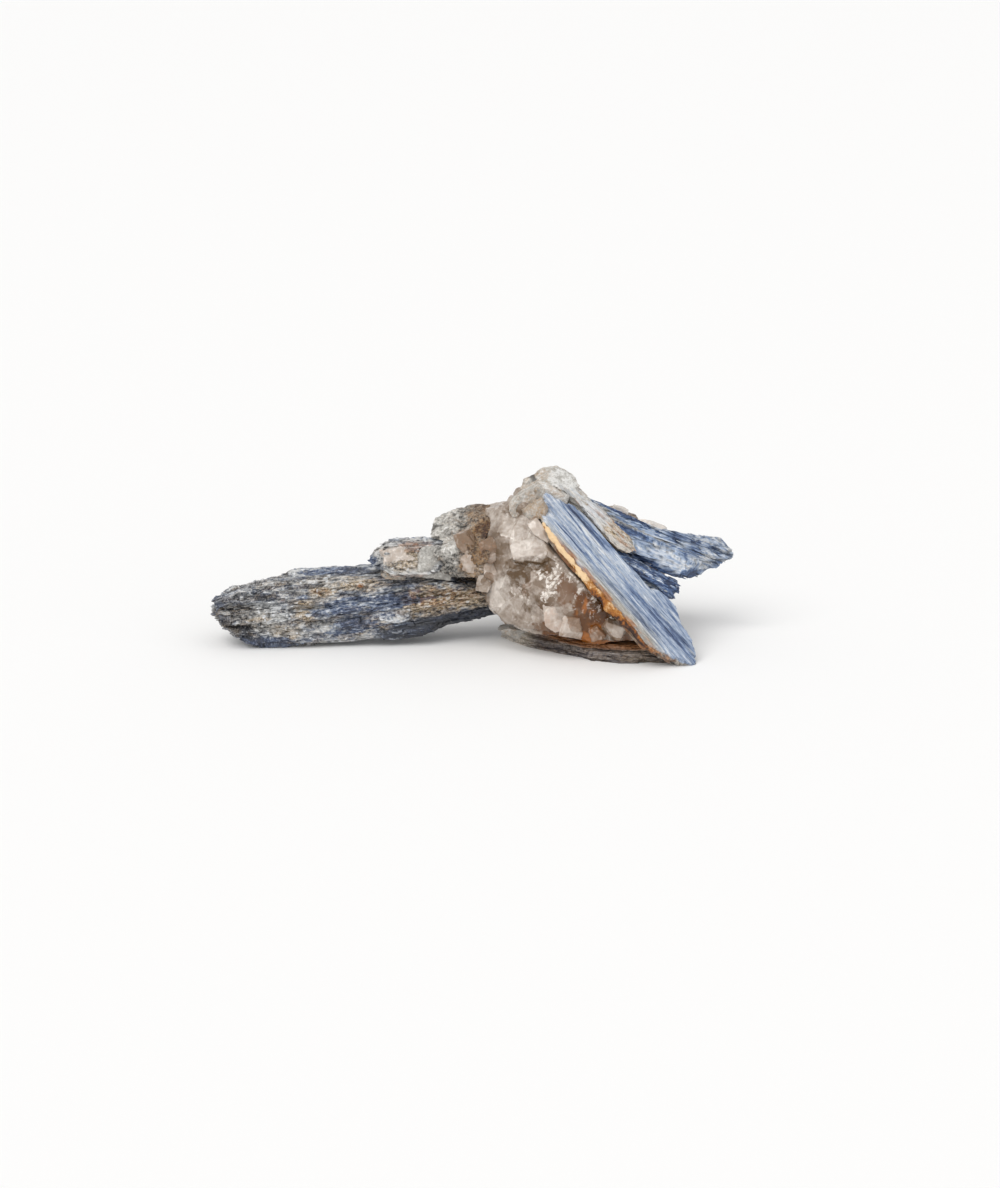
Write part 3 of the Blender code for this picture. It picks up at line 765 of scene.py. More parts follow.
def kyanite(name, looks, roughness, speckle, fibre):
    """Kyanite, cleaved and weathered: pearly on fresh cleavage, with fine lines along the
    blades from its fibres, dull and grainy where mica, quartz and clay fill it.

    The marks on the surface say where: tone from dark to pale, blue from grey to blue, earth
    for the filling, rust for iron stain and cut for painted shade in the gaps."""
    marks = ("tone", "blue", "earth", "rust", "cut", "place")
    material, add, finish, mark = start_material(name, *marks)
    # Fibres 0.3 mm wide and 3 mm long.
    drawn = add("VectorMath", (mark["place"], (0.33, 3.3, 3.3)), operation="MULTIPLY")
    fibres = add("TexNoise", {"Vector": drawn, "Scale": 1.0, "Detail": 4.0, "Roughness": 0.7})
    # Grains and pits of 0.4 to 0.8 mm.
    short = add("VectorMath", (mark["place"], (1.2, 2.6, 2.6)), operation="MULTIPLY")
    grains = add("TexNoise", {"Vector": short, "Scale": 1.0, "Detail": 3.0, "Roughness": 0.8})
    flakes = add("TexVoronoi", {"Vector": short, "Scale": 1.0}, "Color")
    flake = add("SeparateColor", (flakes,), "Red")
    tone = mark["tone"]
    for grain, amount in ((fibres, 2 * fibre), (grains, 1.5 * speckle), (flake, 0.2 * speckle)):
        tone = add("Math", (grain, amount, tone), operation="MULTIPLY_ADD")
    tone = add("Math", (tone, -fibre - 0.85 * speckle), operation="ADD")
    grey_stops = (
        (0.0, faded(looks.slate, 0.25)),
        (0.3, looks.slate),
        (0.6, between(looks.slate, looks.ash)),
        (0.84, looks.ash),
        (1.0, between(looks.ash, looks.white)),
    )
    blue_stops = (
        (0.0, faded(looks.navy, 0.5)),
        (0.25, looks.navy),
        (0.5, looks.blue),
        (0.75, looks.pale),
        (1.0, looks.white),
    )
    greys = add("ValToRGB", (tone,), stops=grey_stops)
    blues = add("ValToRGB", (tone,), stops=blue_stops)
    stone = add("Mix", {0: mark["blue"], 6: greys, 7: blues}, **MIX)
    soil_tone = add("Math", (grains, 3.4, -1.4), operation="MULTIPLY_ADD")
    soil_tone = add("Math", (flake, 0.4, soil_tone), operation="MULTIPLY_ADD")
    soil_stops = (
        (0.12, faded(looks.soil, 0.12)),
        (0.34, faded(looks.soil, 0.6)),
        (0.52, looks.soil),
        (0.8, between(looks.soil, looks.white)),
    )
    soil = add("ValToRGB", (soil_tone,), stops=soil_stops)
    filled = add("Math", (grains, 1.8 * speckle, mark["earth"]), operation="MULTIPLY_ADD")
    filled = add("Math", (filled, -0.95 * speckle), operation="ADD")
    stone = add("Mix", {0: filled, 6: stone, 7: soil}, **MIX)
    ochre_stops = ((0.3, faded(looks.ochre, 0.25)), (0.55, looks.ochre), (0.8, looks.soil))
    stain = add("ValToRGB", (grains,), stops=ochre_stops)
    stone = add("Mix", {0: mark["rust"], 6: stone, 7: stain}, **MIX)
    # Painted shade: the cut mark darkens the colour towards a fifth of the weathered dark, in the
    # gaps between blades.
    painted_gap_shade = add("Math", (mark["cut"], 0.75), operation="MULTIPLY")
    stone = add("Mix", {0: painted_gap_shade, 6: stone, 7: faded(looks.slate, 0.2)}, **MIX)
    # Painted glints: one flake in sixteen, standing for cleavage faces that catch the light, is
    # mixed towards white where the tone is pale, and made glossier.
    glint = add("Math", (flake, 0.94), operation="GREATER_THAN")
    bright = add("Math", (tone, 0.8 * speckle, -0.1), operation="MULTIPLY_ADD")
    bright = add("Math", (glint, bright), operation="MULTIPLY", use_clamp=True)
    stone = add("Mix", {0: bright, 6: stone, 7: looks.white}, **MIX)
    rough = add("Math", (grains, 0.35, roughness - 0.12), operation="MULTIPLY_ADD")
    rough = add("Math", (glint, -0.22, rough), operation="MULTIPLY_ADD")
    rough = add("Math", (mark["earth"], 0.25, rough), operation="MULTIPLY_ADD")
    height = add("Math", (fibres, 0.8, grains), operation="MULTIPLY_ADD")
    height = add("Math", (flake, 0.25, height), operation="MULTIPLY_ADD")
    bump = add("Bump", {"Height": height, "Strength": 0.6, "Distance": 0.12 * MM})
    finish(Base_Color=stone, Roughness=rough, Normal=bump, IOR=1.72)
    return material


def quartz(name, looks, clearness):
    """Smoky quartz, broken: glassy, clear in the thick, with milky fractures that scatter
    light inside it, smoky and brown parts, and iron stain along some of the fractures."""
    marks = ("milk", "smoke", "brown", "rust", "torn", "place")
    material, add, finish, mark = start_material(name, *marks)
    noise = {"Vector": mark["place"], "Detail": 3.0, "Roughness": 0.6}
    clouds = add("TexNoise", {**noise, "Scale": 0.4, "Distortion": 0.8})
    specks = add("TexNoise", {**noise, "Scale": 1.9})
    # Fractures about 4 mm apart, bent a little, and torn shards of about 0.6 mm.
    bent = add("TexNoise", {**noise, "Scale": 0.45}, "Color")
    bent = add("VectorMath", (bent, (1.6, 1.6, 1.6), mark["place"]), operation="MULTIPLY_ADD")
    broken = {"Vector": bent, "Scale": 0.27}
    edge = add("TexVoronoi", broken, feature="DISTANCE_TO_EDGE")
    cells = add("TexVoronoi", broken, "Color")
    cell = add("SeparateColor", (cells,), "Red")
    bits = add("TexVoronoi", {"Vector": bent, "Scale": 1.7}, "Color")
    bit = add("SeparateColor", (bits,), "Green")
    smoky = add("Math", (cell, 0.35, mark["smoke"]), operation="MULTIPLY_ADD")
    smoky = add("Math", (smoky, -0.15), operation="ADD")
    tint = add("Mix", {0: smoky, 6: looks.clear, 7: looks.smoke}, **MIX)
    deep = add("Mix", {0: mark["smoke"], 6: looks.brown, 7: faded(looks.brown, 0.5)}, **MIX)
    tint = add("Mix", {0: mark["brown"], 6: tint, 7: deep}, **MIX)
    milky = mark["milk"]
    for part, amount in ((clouds, 0.9), (cell, -0.45), (specks, 0.5), (mark["brown"], -0.35)):
        milky = add("Math", (part, amount, milky), operation="MULTIPLY_ADD")
    milky = add("Math", (milky, -0.48), operation="ADD")
    line = add("Math", (edge, -16.0, 1.0), operation="MULTIPLY_ADD", use_clamp=True)
    lit = add("Math", (clouds, 5.0, -2.4), operation="MULTIPLY_ADD", use_clamp=True)
    line = add("Math", (line, lit), operation="MULTIPLY")
    milky = add("Math", (line, 0.4, milky), operation="MULTIPLY_ADD", use_clamp=True)
    shard = add("Math", (bit, mark["torn"]), operation="MULTIPLY")
    shard = add("Math", (specks, 0.7, shard), operation="MULTIPLY_ADD")
    shard = add("Math", (shard, 2.6, -1.9), operation="MULTIPLY_ADD", use_clamp=True)
    milky = add("Math", (milky, shard), operation="ADD", use_clamp=True)
    tint = add("Mix", {0: milky, 6: tint, 7: looks.milk}, **MIX)
    stain = add("Math", (specks, 1.6, mark["rust"]), operation="MULTIPLY_ADD")
    stain = add("Math", (stain, -0.8), operation="ADD", use_clamp=True)
    stain = add("Math", (stain, mark["rust"]), operation="MULTIPLY")
    tint = add("Mix", {0: stain, 6: tint, 7: looks.rust}, **MIX)
    clear = add("Math", (milky, -clearness, clearness), operation="MULTIPLY_ADD")
    clear = add("Math", (mark["brown"], -0.25, clear), operation="MULTIPLY_ADD", use_clamp=True)
    rough = add("Math", (specks, 0.3, -0.04), operation="MULTIPLY_ADD")
    bump = add("Bump", {"Height": specks, "Strength": 0.25, "Distance": 0.12 * MM})
    finish(Base_Color=tint, Roughness=rough, Normal=bump, IOR=1.54)
    finish(
        Transmission_Weight=clear,
        Subsurface_Weight=0.15,
        Subsurface_Radius=(1.0, 0.85, 0.7),
        Subsurface_Scale=0.8 * MM,
    )
    return material


def schist(name, looks, contrast):
    """Mica schist, weathered: grey and silvery grains with ochre clay between them, dull,
    with small bright mica flakes."""
    material, add, finish, mark = start_material(name, "tone", "earth", "rust", "cut", "place")
    grain = MM / looks.grain
    cells = add("TexVoronoi", {"Vector": mark["place"], "Scale": grain * 1.6}, "Color")
    flake = add("SeparateColor", (cells,), "Red")
    noise = {"Vector": mark["place"], "Roughness": 0.8}
    clouds = add("TexNoise", {**noise, "Scale": 0.9, "Detail": 5.0})
    dirt = add("TexNoise", {**noise, "Scale": grain, "Detail": 3.0})
    tone = mark["tone"]
    for part, amount in ((clouds, 1.5), (dirt, 1.0), (flake, 0.3)):
        tone = add("Math", (part, amount * contrast, tone), operation="MULTIPLY_ADD")
    tone = add("Math", (tone, 0.1 - 1.4 * contrast), operation="ADD")
    stops = (
        (0.05, faded(looks.dark, 0.4)),
        (0.25, looks.dark),
        (0.5, looks.middle),
        (0.8, looks.pale),
        (1.0, looks.mica),
    )
    stone = add("ValToRGB", (tone,), stops=stops)
    ochre = add("Math", (dirt, 2.2, mark["earth"]), operation="MULTIPLY_ADD")
    ochre = add("Math", (ochre, -1.4), operation="ADD", use_clamp=True)
    ochre_tint = add("ValToRGB", (tone,), stops=((0.1, looks.rust_dark), (0.6, looks.ochre)))
    stone = add("Mix", {0: ochre, 6: stone, 7: ochre_tint}, **MIX)
    stain = add("Math", (mark["rust"], clouds), operation="MULTIPLY")
    stone = add("Mix", {0: stain, 6: stone, 7: looks.rust_dark}, **MIX)
    # Painted shade: where the cut mark is high the colour is darkened towards the dark grains; on
    # the lumps the mark lies in their hollows.
    painted_gap_shade = add("Math", (mark["cut"], 0.8), operation="MULTIPLY")
    stone = add("Mix", {0: painted_gap_shade, 6: stone, 7: faded(looks.dark, 0.3)}, **MIX)
    glint = add("Math", (flake, 0.85), operation="GREATER_THAN")
    rough = add("Math", (glint, -0.4, 0.72), operation="MULTIPLY_ADD")
    height = add("Math", (flake, 0.5, dirt), operation="MULTIPLY_ADD")
    bump = add("Bump", {"Height": height, "Strength": 0.8, "Distance": 0.18 * MM})
    finish(Base_Color=stone, Roughness=rough, Normal=bump, IOR=1.58)
    return material


def iron_crust(looks):
    """Limonite, deposited by water: an earthy, dull, knobbly crust, orange with dark brown
    hollows and a few bright yellow crests."""
    material, add, finish, mark = start_material("limonite_crust", "tone", "place")
    knobs = {"Vector": mark["place"], "Scale": 1.8, "Detail": 5.0, "Roughness": 0.75}
    dirt = add("TexNoise", knobs)
    tone = add("Math", (dirt, 1.5, mark["tone"]), operation="MULTIPLY_ADD")
    tone = add("Math", (tone, -0.75), operation="ADD")
    stops = (
        (0.05, faded(looks.rust_dark, 0.4)),
        (0.25, looks.rust_dark),
        (0.45, looks.rust),
        (0.7, looks.rust_pale),
        (1.0, looks.rust_crest),
    )
    stone = add("ValToRGB", (tone,), stops=stops)
    bump = add("Bump", {"Height": dirt, "Strength": 0.9, "Distance": 0.2 * MM})
    finish(Base_Color=stone, Roughness=0.75, Normal=bump, IOR=1.6)
    return material


# ------------------------------------------------------------------ pieces


def finish_bundle(
    name, stands_for, slot, looks, made, stains, roughness, splinter_length, seed, speckle, fibre
):
    """Writes a bundle with its splinters. stains gives the marks tone, blue, earth and rust
    from the points and the bundle's own marks."""
    grid, marks, info = made
    points, quads, fans = closed(grid)
    points[:, 2] = np.maximum(points[:, 2], 0.0)
    marks.update(stains(points, marks))
    del marks["own"]
    columns = grid.shape[1]
    corners, faces, extra = with_splinters(
        points, marks, info, columns, looks, splinter_length, seed
    )
    corners[:, 2] = np.maximum(corners[:, 2], 0.0)
    quads = np.concatenate((quads, faces + len(points)))
    points = np.concatenate((points, corners))
    marks = {key: np.concatenate((values, extra[key])) for key, values in marks.items()}
    finish = kyanite(name + "_kyanite", looks, roughness, speckle, fibre)
    write_piece(name, stands_for, slot, finish, points, quads, fans, marks)


class KYANITE_OT_long_bundle(bpy.types.Operator):
    """Grow the long weathered bundle on the left"""

    bl_idname = "kyanite.long_bundle"
    bl_label = "Long blade bundle"

    def execute(self, context):
        looks = context.scene.kyanite_blades
        # z from the axis, and where the blades there end, from 47 mm left of the origin
        profile = (
            (-7.6, 0.8), (-4.7, -4.4), (-2.4, -6.4), (-0.6, -7.4), (0.8, -7.2), (2.3, -6.8),
            (3.2, -5.8), (4.2, -3.4), (5.6, 0.4), (7.2, 6.0),
        )
        made = bundle(
            looks, "long_blade_bundle", (-47.0, -0.6, 7.2), (8.4, 5.4, 9.2), profile,
            ragged=2.4, seed=100, lean=0.1, passes=45,
        )
        # Tone patches. The one at x -5.3 is painted shade on the underside, and the one at x -4.1
        # the painted shadow in the slit under the short bundle.
        tones_and_shade = (
            (-51.9, 7.2, 1.6, 3.0, 0, -0.2),
            (-42.5, 9.2, 2.4, 0.8, 0, -0.6),
            (-47.1, 2.2, 2.0, 1.2, 0, -0.6),
            (-50.5, 3.4, 1.4, 0.6, 0, -0.5),
            (-5.3, 4.8, 10.4, 1.8, 8, -0.42),
            (-27.7, 12.4, 6.8, 0.8, 3, 0.2),
            (-30.1, 2.6, 3.0, 0.6, 12, 0.3),
            (-18.3, 2.4, 5.4, 1.8, 10, 0.16),
            (-39.1, 1.8, 3.6, 1.4, 0, 0.15),
            (-34.9, 6.4, 2.2, 2.0, 0, 0.12),
            (-7.5, 10.2, 6.0, 1.8, 0, -0.1),
            (-4.1, 12.8, 4.0, 0.6, 0, -0.7),
            (-24.9, 9.8, 3.2, 0.6, 6, -0.1),
        )
        navies = (
            (-43.9, -0.2, 6.4, 1.0, 0, 1),
            (-29.3, 14.4, 6.4, 0.6, 3, 0.9),
            (-27.5, 7.4, 5.2, 1.4, 12, 1),
            (-24.9, 3.4, 5.2, 1.4, 12, 1),
            (-17.3, 8.2, 4.4, 1.6, 10, 0.9),
            (-10.9, 8.6, 2.8, 0.6, 8, 0.6),
            (-34.9, 9.2, 2.0, 0.6, 0, 0.4),
        )
        earths = (
            (-27.7, 12.4, 6.8, 0.8, 3, 0.35),
            (-30.9, 10.2, 2.4, 0.8, 0, 0.8),
            (-34.9, 6.4, 1.8, 2.0, 30, 0.7),
            (-43.9, 4.6, 2.0, 0.4, 5, 0.7),
            (-39.1, 1.8, 3.2, 1.4, 0, 0.6),
            (-18.3, 2.4, 4.8, 1.8, 10, 0.25),
            (-6.3, 8.8, 8.2, 2.4, 4, 0.95),
            (-22.9, 11.4, 4.8, 0.8, 3, 0.45),
            (-41.3, 11.6, 3.2, 1.0, 10, 0.25),
        )
        rusts = (
            (-30.9, 10.2, 1.8, 0.6, 0, 0.5),
            (-23.3, 11.4, 0.6, 0.4, 0, 0.9),
            (-15.3, 13.2, 0.6, 0.4, 0, 0.9),
            (-6.9, 9.2, 6.8, 1.6, 0, 0.3),
            (-39.1, 8.6, 0.4, 0.4, 0, 0.9),
        )

        def stains(p, marks):
            fine = (6.0, 1.1, 1.1)
            deep = painted(p, navies, 61, 0.8, fine) + 0.95 * (marks["own"] - 0.5)
            deep = smooth((deep - 0.35) / 0.3)
            back = smooth((p[:, 1] + 1) / 3)
            deep = np.maximum(deep, back * smooth(waves(p, (9, 3, 3), 62) * 2 - 0.4))
            blue = 0.25 + 0.3 * waves(p, (9, 1.6, 1.6), 7)
            tone = marks["tone"] * (1 - 0.3 * deep) - 0.14 * deep + painted(p, tones_and_shade, 63, 0.5, fine)
            # Painted shade: the underside of the bundle's right part, below a line that rises to
            # the right in the front view, is darkened and loses its tan filling.
            height = seen_height(p) + 0.9 * waves(p, (5, 1.2, 1.2), 67)
            under = smooth((7.2 + 0.18 * p[:, 0] - height) / 1.4) * smooth((p[:, 0] + 24) / 8)
            tone = tone + 0.36 * waves(p, (6, 2.1, 2.1), 68)
            tone = tone - (0.5 - 0.5 * waves(p, (5, 0.6, 0.6), 69)) * under
            rust = painted(p, rusts, 64) * smooth(waves(p, 0.9, 86) * 2 + 0.6)
            broad = (3.6, 1.9, 1.9)
            earth = painted(p, earths, 65, 0.8, broad) + 0.12 + 0.35 * waves(p, broad, 66)
            earth = earth - 0.5 * (marks["own"] - 0.5)
            return {
                "tone": tone + 0.15,
                "blue": (blue * (1 - deep) + 0.52 * deep).clip(0, 1),
                "earth": earth.clip(-0.4, 1) * (1 - deep * 0.85) - 0.6 * under,
                "rust": rust.clip(0, 1),
            }

        finish_bundle(
            "long_bundle", "long_blade_bundle", "dark_kyanite", looks, made, stains,
            roughness=0.5, splinter_length=0.8, seed=5, speckle=0.9, fibre=0.6,
        )
        return {"FINISHED"}


class KYANITE_OT_short_bundle(bpy.types.Operator):
    """Grow the short bundle that lies on the long one"""

    bl_idname = "kyanite.short_bundle"
    bl_label = "Short blade bundle"

    def execute(self, context):
        looks = context.scene.kyanite_blades
        profile = ((-3.0, 0.2), (-1.0, -2.2), (0.6, -1.4), (2.0, -0.8), (3.4, 1.2))
        made = bundle(
            looks, "short_blade_bundle", (-19.8, 0.4, 18.0), (-1.2, 1.2, 18.6), profile,
            ragged=1.8, seed=200,
        )

        def stains(p, marks):
            navy = within(p, (-21.0, 2.0, 16.6), (3.2, 6.0, 1.9), 61, 0.5)
            top = smooth((p[:, 2] - 20.8) / 0.8)
            tan = within(p, (-14.0, -5.0, 18.2), (4.0, 5.0, 2.0), 62, 0.4)
            ochre = within(p, (-12.5, -3.0, 20.8), (5.0, 4.0, 0.8), 63, 0.7)
            edge = within(p, (-13.0, -6.0, 15.2), (6.0, 3.0, 0.6), 64, 0.8)
            return {
                "tone": marks["tone"] * (1 - 0.5 * navy) + 0.29 - 0.25 * navy + 0.12 * tan,
                "blue": (0.12 + 0.4 * navy + 0.5 * top).clip(0, 1),
                "earth": (0.1 + 0.7 * tan + 0.3 * waves(p, 2.4, 65)).clip(0, 1) * (1 - navy),
                "rust": (0.5 * ochre + 0.4 * edge).clip(0, 1) * smooth(waves(p, 1.0, 66) + 0.6),
            }

        finish_bundle(
            "short_bundle", "short_blade_bundle", "weathered_kyanite", looks, made, stains,
            roughness=0.55, splinter_length=0.6, seed=6, speckle=0.7, fibre=0.8,
        )
        return {"FINISHED"}


class KYANITE_OT_rear_bundle(bpy.types.Operator):
    """Grow the bundle that sticks out on the right"""

    bl_idname = "kyanite.rear_bundle"
    bl_label = "Rear blade bundle"

    def execute(self, context):
        looks = context.scene.kyanite_blades
        profile = ((-7.0, 6.4), (-4.2, 1.6), (-1.0, -2.6), (1.6, -4.2), (3.0, -3.6), (4.4, 0.0))
        pressed = (
            ((22.4, 0.0, 30.9), (0.45, 0.26, 0.97)),
            ((37.6, 0.0, 23.8), (0.11, 0.26, 0.97)),
        )
        made = bundle(
            looks, "rear_blade_bundle", (49.0, 9.2, 15.8), (22.4, 5.8, 27.2), profile,
            ragged=0.9, seed=300, stretch=3.0, crumble=0.6, pressed=pressed,
        )
        navies = (
            (28.7, 27.4, 8.8, 0.6, -29, 1),
            (32.5, 22.4, 5.6, 0.6, -26, 0.9),
            (40.3, 13.6, 2.8, 0.8, -30, 0.9),
            (35.5, 16.2, 3.2, 0.6, -28, 0.9),
            (43.0, 13.4, 4.0, 1.0, 22, 1),
        )
        pales = (
            (37.5, 19.0, 6.8, 1.0, -25, 0.04),
            (43.1, 15.2, 1.6, 0.8, 0, 0.1),
            (36.1, 20.4, 4.8, 0.4, -28, 0.15),
            (39.5, 16.2, 2.8, 0.6, -20, 0.12),
        )
        creams = (
            (29.5, 24.6, 4.4, 0.4, -24, 1),
            (36.1, 22.0, 2.8, 0.4, -20, 0.6),
            (25.1, 28.0, 2.8, 0.4, -33, 0.5),
        )

        def stains(p, marks):
            drawn = (3.0, 0.9, 0.9)
            line = 40.5 + 0.857 * (20.4 - seen_height(p))
            end = smooth((p[:, 0] - line + 2.2 * waves(p, 1.8, 61)) / 1.2)
            front = smooth((12 - p[:, 1]) / 2)
            deep = painted(p, navies, 62, 0.8, drawn) * front
            deep = smooth((deep + 0.8 * (marks["own"] - 0.5) - 0.3) / 0.3) * (1 - 0.8 * end)
            cream = painted(p, creams, 63, 0.8, drawn) * front
            cream = smooth((cream + 0.9 * (marks["own"] - 0.5) - 0.35) / 0.3)
            tone = 0.76 + 0.36 * (marks["tone"] - 0.5) - 0.42 * deep + 0.12 * cream
            tone = tone + painted(p, pales, 65, 0.8, drawn) * front
            broken = 0.67 + 0.7 * (marks["tone"] - 0.5) + 0.35 * waves(p, (2.4, 1.6, 1.6), 66)
            tone = tone * (1 - end) + end * broken
            return {
                "tone": tone,
                "blue": (0.9 - 0.15 * end - 0.65 * cream).clip(0, 1),
                "earth": 0.35 * cream + 0.25 * waves(p, (4, 1, 1), 64) - 0.15,
                "rust": (0.3 * waves(p, (3, 1, 1), 65) - 0.15).clip(0, 1),
            }

        finish_bundle(
            "rear_bundle", "rear_blade_bundle", "blue_kyanite", looks, made, stains,
            roughness=0.36, splinter_length=0.7, seed=7, speckle=0.3, fibre=0.5,
        )
        return {"FINISHED"}


class KYANITE_OT_middle_blades(bpy.types.Operator):
    """Grow the dark blades between the sheet and the rear bundle"""

    bl_idname = "kyanite.middle_blades"
    bl_label = "Middle blades"

    def execute(self, context):
        looks = context.scene.kyanite_blades
        profile = ((-3.0, 0.6), (-1.0, -1.4), (1.0, -1.2), (2.6, 0.0))
        made = bundle(
            looks, "middle_blades", (41.0, -2.2, 11.6), (27.0, -2.0, 19.0), profile,
            ragged=2.4, seed=400, stretch=1.6, crumble=0.3,
        )

        def stains(p, marks):
            streak = smooth(2.2 * waves(marks["place"], (8, 0.7, 0.7), 61) - 0.3)
            return {
                "tone": 0.36 + 0.4 * (marks["tone"] - 0.5) + 0.48 * streak,
                "blue": 0.95 - 0.25 * streak,
                "earth": 0.25 * streak - 0.2,
                "rust": 0.0 * streak,
            }

        finish_bundle(
            "middle_blades_skin", "middle_blades", "navy_kyanite", looks, made, stains,
            roughness=0.36, splinter_length=0.7, seed=8, speckle=0.5, fibre=0.7,
        )
        return {"FINISHED"}


def sheet_place(across, up, lift):
    """A place on the front sheet: tip + across * A + up * U + lift * O."""
    parts = (across, SHEET_ACROSS), (up, SHEET_UP), (lift, SHEET_OUT)
    return SHEET_TIP + sum(np.asarray(v)[..., None] * way for v, way in parts)


def sheet_axes(points):
    """How far each point is up the front sheet, across it and out of it."""
    return np.stack([(points - SHEET_TIP) @ way for way in (SHEET_UP, SHEET_ACROSS, SHEET_OUT)], -1)


class KYANITE_OT_front_sheet(bpy.types.Operator):
    """Grow the broad pale sheet of parallel blades on the front"""

    bl_idname = "kyanite.front_sheet"
    bl_label = "Front blade sheet"

    def execute(self, context):
        looks = context.scene.kyanite_blades
        # across the sheet, then where its blades end below and above
        main = (
            (-7.5, 9.4, 34.0), (-7.1, 8.4, 37.5), (-6.6, 7.4, 40.4), (-6.1, 6.8, 42.0),
            (-5.6, 6.0, 42.9), (-4.0, 4.0, 43.0), (-2.9, 2.6, 43.4), (-1.4, 0.8, 45.4),
            (0.0, 0.0, 47.4), (0.9, 0.5, 46.2), (1.6, 1.0, 44.9), (2.8, 2.2, 43.0),
            (4.3, 4.2, 41.8), (4.9, 12.0, 39.4), (5.3, 22.0, 36.6), (5.7, 26.0, 31.6),
        )
        right = (
            (3.0, 3.4, 24.2), (4.4, 4.4, 22.4), (5.9, 8.6, 18.6), (7.4, 10.4, 17.2),
            (8.7, 12.4, 15.6),
        )
        self.slab("front_sheet", looks, main, 0.0, 500)
        self.slab("front_sheet_lower", looks, right, -0.25, 540)
        return {"FINISHED"}

    def slab(self, name, looks, outline, lift, seed):
        """Front point = place(across, up, lift + relief(across, up)), where relief is the
        sum over three widths of blade of their block heights. The back is 2 mm behind."""

        def blades(level):
            """The broad, middle and thin blades at places up the sheet and across it."""
            level = level.copy()
            level[..., 1] += 0.3 * waves(level, (16, 3, 9), seed + 2)
            sizes = ((30, 1.7, 50), (14, 0.6, 50), (7, 0.24, 50))
            return level, *(blocks(level, size, seed + 3 + n) for n, size in enumerate(sizes))

        across_of, below, above = np.array(outline).T
        wide = across_of[-1] - across_of[0]
        tall = above.max() - below.min()
        step_across, step_up, most_points = 0.09, 0.16, 62_000
        columns = int(wide / step_across)
        rows = min(int(tall / step_up), most_points // columns)
        across = np.linspace(across_of[0], across_of[-1], columns)
        row = np.stack((across * 0, across, across * 0), -1)
        teeth, fine = blocks(row, (1, 0.7, 1), seed)[1], blocks(row, (1, 0.25, 1), seed + 1)[1]
        ragged = 0.5 * teeth + 0.3 * fine
        low = np.interp(across, across_of, below) + ragged
        high = np.interp(across, across_of, above) - ragged[::-1]
        part = np.linspace(0, 1, rows)[:, None]
        up = low + part * (high - low)
        across = across + 0 * up
        flat = np.stack((up, across, 0 * up), -1)
        _, broad, middle, thin = blades(flat)
        relief = 0.16 * broad[0] + 0.10 * middle[0] + 0.05 * thin[0] - 0.10 * broad[2]
        relief = relief - 0.04 * middle[2] + 0.05 * waves(flat, 1.5, seed + 6)
        edge = np.minimum(across - across_of[0], across_of[-1] - across)
        relief = relief - 0.5 * smooth(1 - edge / 0.6) - 0.4 * smooth((up - high + 0.8) / 0.8)
        front = sheet_place(across, up, lift + relief)
        thick, layers, lowest = 2.0, 10, 0.02
        thinner = smooth((up - 38) / 4)
        back = sheet_place(across, up, lift - thick + thinner + 0.4 * broad[0])
        quads, rim = slab_faces(rows, columns, layers)
        front, back = front.reshape(-1, 3), back.reshape(-1, 3)
        deep = np.arange(1, layers + 1)[:, None, None] / (layers + 1)
        sides = front[rim] * (1 - deep) + back[rim] * deep
        spread = sides - front.mean(axis=0)
        spread -= (spread @ SHEET_OUT)[..., None] * SHEET_OUT
        spread /= np.linalg.norm(spread, axis=-1, keepdims=True)
        sides = sides + 0.25 * blocks(sides, 0.8, seed + 7)[0][..., None] * spread
        points = np.concatenate((front, back, sides.reshape(-1, 3)))
        points[:, 2] = np.maximum(points[:, 2], lowest)
        place = sheet_axes(points)
        quads, none = outward(points, quads, np.zeros((0, 3), int))

        u, w = place[:, 0], place[:, 1]
        level, broad, middle, thin = blades(place * (1, 1, 0))
        tone = 0.8 + 0.06 * (2 * broad[1] - 1) + 0.08 * (2 * middle[1] - 1)
        tone = tone + 0.08 * (2 * thin[1] - 1) + 0.05 * waves(level, (3, 0.2, 9), seed + 14)
        tone = tone - 0.12 * smooth((28 - u) / 14) * smooth((w + 5) / 4)
        # across the sheet at this height, drift per mm up, from, to, half width, change
        streaks_at = 24
        streaks = (
            (4.4, -0.09, 27.0, 44.0, 0.75, -0.4),
            (3.1, -0.04, 28.0, 42.0, 0.55, -0.22),
            (4.9, -0.02, 20.0, 32.0, 0.4, -0.3),
            (-0.9, 0.14, 31.0, 45.0, 0.16, -0.40),
            (-3.6, -0.01, 30.0, 41.0, 0.13, -0.55),
            (-3.2, 0.0, 34.0, 41.5, 0.3, -0.15),
            (-2.0, 0.05, 26.0, 38.0, 0.3, -0.18),
            (0.4, 0.12, 28.0, 45.0, 0.4, 0.1),
            (-5.8, 0.0, 6.0, 44.0, 0.6, 0.08),
            (0.0, -0.02, 3.0, 22.5, 0.5, -0.36),
            (0.9, -0.06, 2.0, 16.0, 0.5, -0.25),
            (-2.2, -0.02, 6.0, 20.0, 0.5, -0.16),
            (-4.0, 0.02, 9.0, 18.0, 0.6, -0.14),
            (5.4, -0.09, 6.0, 18.0, 0.35, -0.2),
            (-0.6, 0.0, 24.0, 30.0, 0.9, 0.08),
        )
        uneven = 0.2 * waves(place, (9, 4, 4), seed + 8) + 0.12 * waves(place, (3, 1, 1), seed)
        for across, slope, first, last, half, change in streaks:
            off = (w - across - slope * (u - streaks_at) + uneven) / half
            inside = smooth((u - first) / 3) * smooth((last - u) / 3)
            tone = tone + change * np.exp(-(off**2)) * inside
        tan_lines = smooth(1.6 * waves(place * (1, 1, 0) + 5, (18, 0.8, 9), seed + 9) - 0.75)
        left = smooth((-4.6 - w + uneven) / 1.4) * (0.55 + 0.4 * waves(place, (5, 2, 2), seed + 11))
